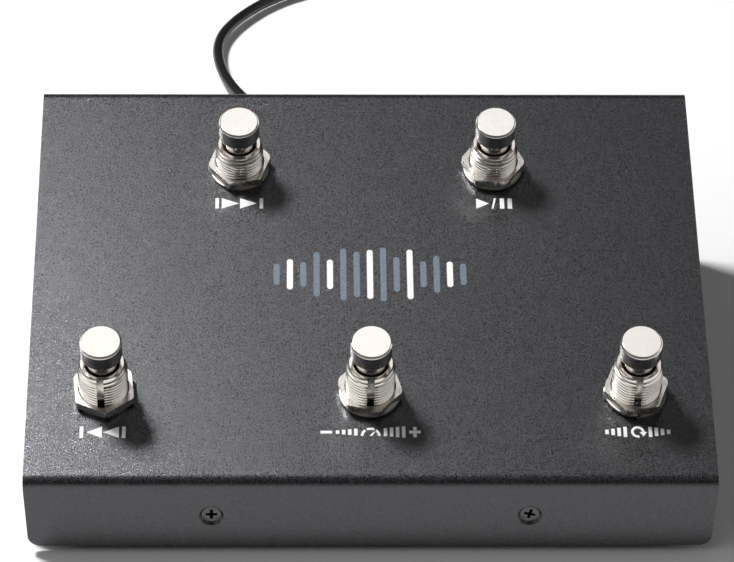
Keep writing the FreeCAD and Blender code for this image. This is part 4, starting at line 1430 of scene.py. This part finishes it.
@dataclass
class Lead:
    """The lead: its boot, the cord with its coil, the tie and the plug.

    Attributes:
        radius: Radius of the cord.
        run: Corners of its free stretch, from the tip of the boot to the coil.
        coil_middle: Middle of the coil.
        coil_outer: Radius of its outermost turn.
        coil_pitch: Distance between turns, sideways and upwards.
        coil_layers: Number of layers.
        layer_turns: Turns in a layer.
        coil_start: Angle of the coil's start.
        climb: Share of a turn in which the cord climbs to the next layer.
        steps: Points of the spline in a turn.
        tail: Corners from the top of the coil to the plug.
        length: Real length of the cord; not used.
        plug_heading: Way that the plug points, in degrees from the right.
        wall: How far the rear flange stands behind the middle.
        exit_x: Place of the exit to the right of the middle.
        exit_height: Height of the exit.
        ground_gap: Height of the lowest turn's middle.
        strap_angle: Place of the strap round the coil, in degrees.
        strap_clearance: Distance of the strap's inside from the nearest turns' middle.
        strap_thickness: Thickness of the strap.
        strap_half: Half its width.
    """

    radius: float = 1.5 * MM
    run: tuple[tuple[float, float, float], ...] = (
        (-0.0120, 0.077004, 0.0120),
        (-0.0120, 0.091604, 0.0120),
        (-0.0188, 0.105804, 0.0072),
        (-0.0281, 0.120304, 0.0045),
        (-0.0374, 0.136604, 0.0035),
        (-0.0408, 0.154104, 0.0032),
        (-0.0370, 0.167004, 0.0030),
        (-0.0251, 0.181404, 0.0027),
        (-0.0106, 0.188904, 0.0025),
        (-0.0001, 0.196504, 0.0024),
    )
    coil_middle: tuple[float, float] = (-0.01186, 0.21786)
    coil_outer: float = 24.195 * MM
    coil_pitch: float = 3.55 * MM
    coil_layers: int = 4
    layer_turns: float = 3.49
    coil_start: float = -54.1
    climb: float = 0.5
    steps: int = 16
    tail: tuple[tuple[float, float, float], ...] = (
        (0.014875, 0.20182, 0.01305),
        (0.03556, 0.209313, 0.0040),
        (0.050604, 0.214762, 0.0040),
    )
    length: float = 1.787
    plug_heading: float = 19.91
    wall: float = 59.404 * MM
    exit_x: float = -12.0 * MM
    exit_height: float = 12.0 * MM
    ground_gap: float = 2.4 * MM
    strap_angle: float = 150.0
    strap_clearance: float = 1.7 * MM
    strap_thickness: float = 0.7 * MM
    strap_half: float = 3.0 * MM

    def layer_height(self, layer: float) -> float:
        """Height of the cord's middle in a layer of the coil."""
        return self.ground_gap + layer * self.coil_pitch

    def coil_points(self) -> list[Vector]:
        """Points of the spline round the coil.

        Returns:
            The points, from the coil's start on the ground to its end on top.
        """
        inset = (1 + math.cos(math.pi / self.steps)) / 2
        total = self.coil_layers * self.layer_turns
        count = round(total * self.steps)
        found = []
        for i in range(count + 1):
            turned_so_far = total * i / count
            layer = min(int(turned_so_far / self.layer_turns), self.coil_layers - 1)
            within = turned_so_far - layer * self.layer_turns
            inward = within if layer % 2 == 0 else self.layer_turns - within
            radius = (self.coil_outer - inward * self.coil_pitch) / inset
            climbed = 0.0
            for number in range(1, self.coil_layers):
                past = turned_so_far - number * self.layer_turns
                climbed += min(max((past + self.climb / 2) / self.climb, 0.0), 1.0)
            angle = math.radians(self.coil_start) + 2 * math.pi * turned_so_far
            x = self.coil_middle[0] + radius * math.cos(angle)
            y = self.coil_middle[1] + radius * math.sin(angle)
            found.append(Vector((x, y, self.layer_height(climbed))))
        return found

    def cord(self) -> bpy.types.Object:
        """The whole cord as one smooth spline.

        Returns:
            The piece.
        """
        points = [*self.run, *self.coil_points(), *self.tail]
        curve = bpy.data.curves.new("lead_cord", "CURVE")
        curve.dimensions = "3D"
        curve.resolution_u = 6
        curve.bevel_depth = self.radius
        curve.bevel_resolution = 6
        curve.use_fill_caps = True
        spline = curve.splines.new("NURBS")
        spline.points.add(len(points) - 1)
        for knot, point in zip(spline.points, points):
            knot.co = (*point, 1.0)
        spline.order_u = 3
        spline.use_endpoint_u = True
        return dress(put_in_scene("lead_cord", curve), JACKET)

    def boot(self) -> bpy.types.Object:
        """Grommet with a ribbed, tapered boot.

        Returns:
            The piece.
        """
        outward = Matrix.Translation((self.exit_x, self.wall, self.exit_height))
        outward = outward @ Matrix.Rotation(-math.pi / 2, 4, "X")
        # Radius and height in millimetres: the collar on both sides of the flange
        corners = [(0.0, -2.8), (3.3, -2.8), (3.9, -1.6), (3.15, -1.6), (3.15, 0.0), (4.2, 0.0)]
        corners += [(4.2, 1.1), (3.9, 1.6), (3.2, 1.7)]
        # The ribs, each a little narrower than the last
        for i in range(6):
            at = 2.4 + i * 2.3
            wide = 3.2 - (at - 1.6) / 16
            root = wide - 0.5
            corners += [(wide, at), (root, at + 0.25), (root, at + 0.85), (wide, at + 1.1)]
        # The tip
        corners += [(2.2, 17.3), (1.9, 17.6), (0.0, 17.6)]
        piece = dress(turned_piece("lead_boot", corners, 0.2 * MM, 3, outward, 72), GRIP)
        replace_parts(piece, "cord_gland")
        return piece

    def tie(self) -> bpy.types.Object:
        """Strap closed round the bundle of turns.

        Returns:
            The piece.
        """
        angle = math.radians(self.strap_angle)
        room, thick, half = self.strap_clearance, self.strap_thickness, self.strap_half
        low = self.coil_outer - self.layer_turns * self.coil_pitch - room
        high = self.coil_outer + room
        base, top = thick, self.layer_height(self.coil_layers - 1) + room
        width, height = high - low + 2 * thick, top - base + 2 * thick
        outer = rounded_rectangle(width, height, 1.5 * MM, 6)
        inner = rounded_rectangle(width - 2 * thick, height - 2 * thick, 0.8 * MM, 6)
        centre = Vector(((low + high) / 2, (base + top) / 2))
        outward = Vector((math.cos(angle), math.sin(angle), 0))
        sideways = Vector((-math.sin(angle), math.cos(angle), 0))
        middle = Vector((*self.coil_middle, 0))

        def spot(x: float, z: float, across: float) -> Vector:
            """Point of the strap from its place in the bundle's section."""
            rise = Vector((0, 0, centre.y + z))
            return middle + outward * (centre.x + x) + sideways * across + rise

        points = []
        round_over = 0.15 * MM
        for (ox, oz), (ix, iz) in zip(outer, inner):
            points += [
                spot(ox, oz, half - round_over),
                spot(ox, oz, -half + round_over),
                spot(ox * 0.99, oz * 0.985, -half),
                spot(ix, iz, -half),
                spot(ix, iz, half),
                spot(ox * 0.99, oz * 0.985, half),
            ]
        piece = dress(join_meshes("coil_strap", [(points, ring_faces(len(outer), 6))]), STRAP)
        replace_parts(piece, "coil_tie")
        return piece

    def plug_pieces(self) -> list[bpy.types.Object]:
        """Grip with finger ribs, folded metal shell, insert and contacts of the plug.

        Returns:
            The pieces.
        """
        lay = Matrix.Translation(self.tail[-1])
        lay = lay @ Matrix.Rotation(math.radians(self.plug_heading), 4, "Z")

        def section(at: float, width: float, height: float, corner: float) -> list[Vector]:
            """Rounded section across the plug's axis, with its sizes in millimetres.

            Args:
                at: Distance from the grip's end.
                width: Its width.
                height: Its height.
                corner: Radius of its corners.

            Returns:
                Its points.
            """
            outline = rounded_rectangle(width * MM, height * MM, corner * MM, 8)
            return [lay @ Vector((at * MM, x, z)) for x, z in outline]

        # Place, width, height and corner of each section: the collar and its rings
        steps = [(0.0, 4.4, 4.4, 2.2), (0.6, 4.4, 4.4, 2.2)]
        for i in range(4):
            at = 1.4 + i * 1.9
            wide = 4.5 + at * 0.22
            steps += [
                (at, wide, wide, wide / 2),
                (at + 0.3, wide - 0.8, wide - 0.8, wide / 2 - 0.4),
                (at + 0.8, wide - 0.8, wide - 0.8, wide / 2 - 0.4),
                (at + 1.1, wide, wide, wide / 2),
            ]
        # The shoulders
        steps += [
            (9.0, 6.4, 6.4, 3.2),
            (9.02, 12.2, 6.6, 2.6),
            (9.8, 14.6, 7.5, 2.4),
            (12.0, 15.5, 8.0, 2.2),
        ]
        # The finger grooves
        for i in range(5):
            at = 14.0 + i * 2.4
            steps += [
                (at, 15.5, 8.0, 2.2),
                (at + 0.35, 15.0, 7.4, 2.0),
                (at + 1.0, 15.0, 7.4, 2.0),
                (at + 1.35, 15.5, 8.0, 2.2),
            ]
        steps += [(32.2, 15.5, 8.0, 2.2), (32.8, 15.2, 7.7, 2.0), (33.0, 14.6, 7.1, 1.8)]
        sections = [section(*step) for step in steps]
        grip = dress(join_meshes("plug_handle", [lofted(sections)], 50.0), GRIP)
        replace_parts(grip, "plug_grip")
        # The shell's outside, its lip and its inside
        folds = [
            (33.0, 12.0, 4.5, 0.5),
            (50.9, 12.0, 4.5, 0.5),
            (51.0, 11.8, 4.3, 0.4),
            (51.0, 11.4, 3.9, 0.3),
            (50.8, 11.3, 3.8, 0.3),
            (33.0, 11.3, 3.8, 0.3),
        ]
        metal = [section(*fold) for fold in folds]
        shell = dress(join_meshes("plug_metal_shell", [lofted(metal)], 40.0), ZINC)
        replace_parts(shell, "plug_shell")
        drop = Vector((0, 0, 0.9 * MM))
        ends = ((33.0, 11.2), (50.0, 11.2), (50.2, 10.9))
        core = [[point - drop for point in section(a, w, 1.9, 0.2)] for a, w in ends]
        insert = dress(join_meshes("plug_tongue", [lofted(core)], 40.0), PALE)
        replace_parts(insert, "plug_insert")
        bar = rounded_rectangle(9 * MM, 1.1 * MM, 0.2 * MM, 3)
        raised = lay @ Matrix.Translation((0, 0, 0.05 * MM))
        strips = []
        for across in (-3.5, -1.0, 1.0, 3.5):
            outline = [(x + 44.5 * MM, y + across * MM) for x, y in bar]
            strips.append(slab(outline, raised, 0.08 * MM))
        contacts = dress(join_meshes("plug_contacts", strips), GOLD)
        return [grip, shell, insert, contacts]

    def build(self) -> None:
        cord = self.cord()
        boot = self.boot()
        strap = self.tie()
        plug = self.plug_pieces()
        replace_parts(cord, "cord_run", "cord_coil", "cord_tail")
        for piece in (cord, boot, strap, *plug):
            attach(piece, CASE)
        log.info("lead: cord, boot, strap and %d plug pieces", len(plug))


# Studio


@dataclass(frozen=True)
class StudioCamera:
    """The camera of the picture.

    Attributes:
        place: Where it stands.
        pitch: How far it looks down, in degrees.
        yaw: How far it looks aside.
        roll: How far it is rolled.
        lens: Focal length in millimetres on a sensor 36 mm wide.
    """

    place: tuple[float, float, float] = (-0.019544, -0.698569, 0.570537)
    pitch: float = 37.3688
    yaw: float = 1.58396
    roll: float = 0.97882
    lens: float = 174.27

    def build(self) -> None:
        """Set up the camera."""
        pitch, yaw, roll = (math.radians(a) for a in (self.pitch, self.yaw, self.roll))
        base = Matrix(
            (
                (1.0, 0.0, 0.0),
                (0.0, -math.sin(pitch), -math.cos(pitch)),
                (0.0, math.cos(pitch), -math.sin(pitch)),
            )
        )
        look = Matrix.Rotation(roll, 3, "Z") @ base @ Matrix.Rotation(yaw, 3, "Z")
        right, down, ahead = look[0], look[1], look[2]
        axes = Matrix((right, -down, -ahead)).transposed().to_4x4()
        data = bpy.data.cameras.new("studio_camera")
        data.sensor_width = 36.0
        data.lens = self.lens
        data.clip_start = 0.01
        data.clip_end = 50.0
        camera = put_in_scene("studio_camera", data)
        camera.matrix_world = Matrix.Translation(self.place) @ axes
        bpy.context.scene.camera = camera
        log.info("camera: %.0f mm lens", self.lens)


@dataclass
class Studio:
    """Pale floor, key lamp and soft surroundings.

    Attributes:
        floor_colour: Colour of the floor.
        key_way: Direction from the object to the key lamp.
        key_distance: Distance of the key lamp.
        key_size: Diameter of the key lamp.
        key_power: Its power in watts.
        overhead: Radiance of the soft ceiling light.
        horizon: Radiance of the surroundings near the horizon.
        ceiling: Radiance of the surroundings overhead.
        left_wall: Radiance of the soft wall on the left.
        right_wall: Radiance of the soft wall on the right.
        wall_base: Height at which the walls start, as the sine of their elevation.
        wall_top: Height at which they end.
    """

    floor_colour: Colour = (0.87, 0.87, 0.87)
    key_way: tuple[float, float, float] = (-0.48, 0.258, 1.104)
    key_distance: float = 1.25
    key_size: float = 0.26
    key_power: float = 17.0
    overhead: float = 1.28
    horizon: float = 0.14
    ceiling: float = 0.025
    left_wall: float = 1.0
    right_wall: float = 0.58
    wall_base: float = 0.35
    wall_top: float = 0.86

    def key(self) -> None:
        """Set up the round key lamp."""
        data = bpy.data.lights.new("key_lamp", "AREA")
        data.shape = "DISK"
        data.size = self.key_size
        data.energy = self.key_power
        lamp = put_in_scene("key_lamp", data)
        way = Vector(self.key_way).normalized()
        lamp.location = way * self.key_distance
        lamp.rotation_euler = way.to_track_quat("Z", "Y").to_euler()

    def floor(self) -> None:
        """Lay a large pale floor that fades into the surroundings."""
        mesh = bpy.data.meshes.new("studio_floor")
        half = 6.0
        corners = [(-half, -half, 0), (half, -half, 0), (half, half, 0), (-half, half, 0)]
        mesh.from_pydata(corners, [], [(0, 1, 2, 3)])
        floor = put_in_scene("studio_floor", mesh)
        tree = ShaderTree("studio_paper")
        tree.set(Roughness=0.9, Specular_IOR_Level=0.0)
        fibres = tree.noise(2.0 * MM, 3.0)
        paler = tuple(c * 1.01 for c in self.floor_colour)
        tree.shade(fibres, "Fac", self.floor_colour, paler)
        place = tree.add("ShaderNodeTexCoord")
        reach = tree.add("ShaderNodeVectorMath", operation="LENGTH")
        tree.join(place, "Object", reach, 0)
        far = tree.spread(reach, "Value", 0.0, 1.0, (0.35, 0.8))
        glow = tree.add("ShaderNodeEmission", {"Color": (1, 1, 1, 1), "Strength": 1.0})
        mixed = tree.add("ShaderNodeMixShader")
        output = tree.tree.nodes["Material Output"]
        tree.join(far, "Result", mixed, 0)
        tree.join(tree.surface, 0, mixed, 1)
        tree.join(glow, 0, mixed, 2)
        tree.join(mixed, 0, output, "Surface")
        floor.data.materials.append(tree.material)

    def surroundings(self) -> None:
        """Dim room with a soft bright wall on the left and a weaker one on the right."""
        world = bpy.data.worlds.new("studio_surroundings")
        world.use_nodes = True
        tree = world.node_tree
        background = tree.nodes["Background"]
        place = tree.nodes.new("ShaderNodeTexCoord")
        split = tree.nodes.new("ShaderNodeSeparateXYZ")
        tree.links.new(place.outputs["Generated"], split.inputs[0])

        def ramp(axis: str, start: float, end: float, low: float, high: float) -> bpy.types.Node:
            """Smooth step between two values along an axis of the direction.

            Args:
                axis: The axis, X, Y or Z.
                start: Place on it where the step starts.
                end: Place where it ends.
                low: The value before the step.
                high: The value after it.

            Returns:
                The node with the value.
            """
            node = tree.nodes.new("ShaderNodeMapRange")
            node.interpolation_type = "SMOOTHSTEP"
            limits = {"From Min": start, "From Max": end, "To Min": low, "To Max": high}
            for key, value in limits.items():
                node.inputs[key].default_value = value
            tree.links.new(split.outputs[axis], node.inputs["Value"])
            return node

        def combine(
            operation: str, first: bpy.types.Node, second: bpy.types.Node
        ) -> bpy.types.Node:
            """Combine two values.

            Args:
                operation: How, as the math node names it.
                first: The node with the first value.
                second: The node with the second.

            Returns:
                The node with the result.
            """
            node = tree.nodes.new("ShaderNodeMath")
            node.operation = operation
            tree.links.new(first.outputs[0], node.inputs[0])
            tree.links.new(second.outputs[0], node.inputs[1])
            return node

        def product(result: bpy.types.Node, *factors: bpy.types.Node) -> bpy.types.Node:
            """Multiply values.

            Args:
                result: The node with the first value.
                factors: The nodes with the others.

            Returns:
                The node with the product.
            """
            for factor in factors:
                result = combine("MULTIPLY", result, factor)
            return result

        # The two walls, left and right of the object
        sides = combine(
            "ADD",
            ramp("X", -0.28, -0.20, self.left_wall, 0.0),
            ramp("X", 0.20, 0.28, 0.0, self.right_wall),
        )
        # Their foot and top, and how far they reach behind and in front
        walls = product(
            sides,
            ramp("Z", self.wall_base - 0.08, self.wall_base + 0.08, 0.0, 1.0),
            ramp("Z", self.wall_top - 0.04, self.wall_top + 0.04, 1.0, 0.0),
            ramp("Y", 0.10, 0.25, 1.0, 0.0),
            ramp("Y", -0.68, -0.50, 0.0, 1.0),
        )
        # The soft ceiling light: brightest on its left, with soft edges on all sides
        ceiling_light = product(
            ramp("X", 0.0, 0.40, self.overhead, 0.0),
            ramp("X", 0.125, 0.20, 1.0, 0.0),
            ramp("X", -0.13, -0.085, 0.0, 1.0),
            ramp("Y", 0.26, 0.32, 0.0, 1.0),
            ramp("Y", 0.44, 0.50, 1.0, 0.0),
            ramp("Z", 0.30, 0.50, 0.0, 1.0),
        )
        room = ramp("Z", 0.05, 0.30, self.horizon, self.ceiling)
        glow = combine("ADD", combine("ADD", walls, ceiling_light), room)
        background.inputs["Color"].default_value = (1.0, 1.0, 1.0, 1.0)
        tree.links.new(glow.outputs[0], background.inputs["Strength"])
        bpy.context.scene.world = world

    def build(self) -> None:
        """Set up the floor, the key lamp and the surroundings."""
        self.floor()
        self.key()
        self.surroundings()
        bpy.context.scene.view_settings.view_transform = "Standard"
        log.info("studio: floor, key lamp and surroundings")


def make_switches() -> list[Footswitch]:
    """The five footswitches with their places and small turns.

    Returns:
        The footswitches, the front ones first.
    """
    front, rear, lower = 25.6 * MM, 95.8 * MM, 2.7 * MM
    return [
        Footswitch(SwitchName.FRONT_LEFT, -64 * MM, front, 0.0, -4.0, 36.0, 150.0, 0.0, 6.95 * MM),
        Footswitch(SwitchName.FRONT_MIDDLE, 0.0, front, 0.0, 0.0, -13.0, 40.0, 0.5 * MM),
        Footswitch(SwitchName.FRONT_RIGHT, 64 * MM, front, 0.0, 0.0, 9.0, -90.0, 0.5 * MM),
        Footswitch(SwitchName.REAR_LEFT, -32 * MM, rear, lower, 180.0, 11.0, 95.0, 0.2 * MM),
        Footswitch(SwitchName.REAR_RIGHT, 32 * MM, rear, lower, 180.0, -5.0, 60.0, 0.5 * MM),
    ]


def main() -> None:
    """Build the scene."""
    logging.basicConfig(level=logging.INFO, format="%(name)s: %(message)s")
    StudioCamera().build()
    Lead().build()
    SheetCase().build()
    FrontScrews().build()
    switches = make_switches()
    for switch in switches:
        switch.build()
    Fasteners().build(switches)
    PlatePrint().build(switches)
    Electronics().build()
    Studio().build()


if __name__ == "__main__":
    main()
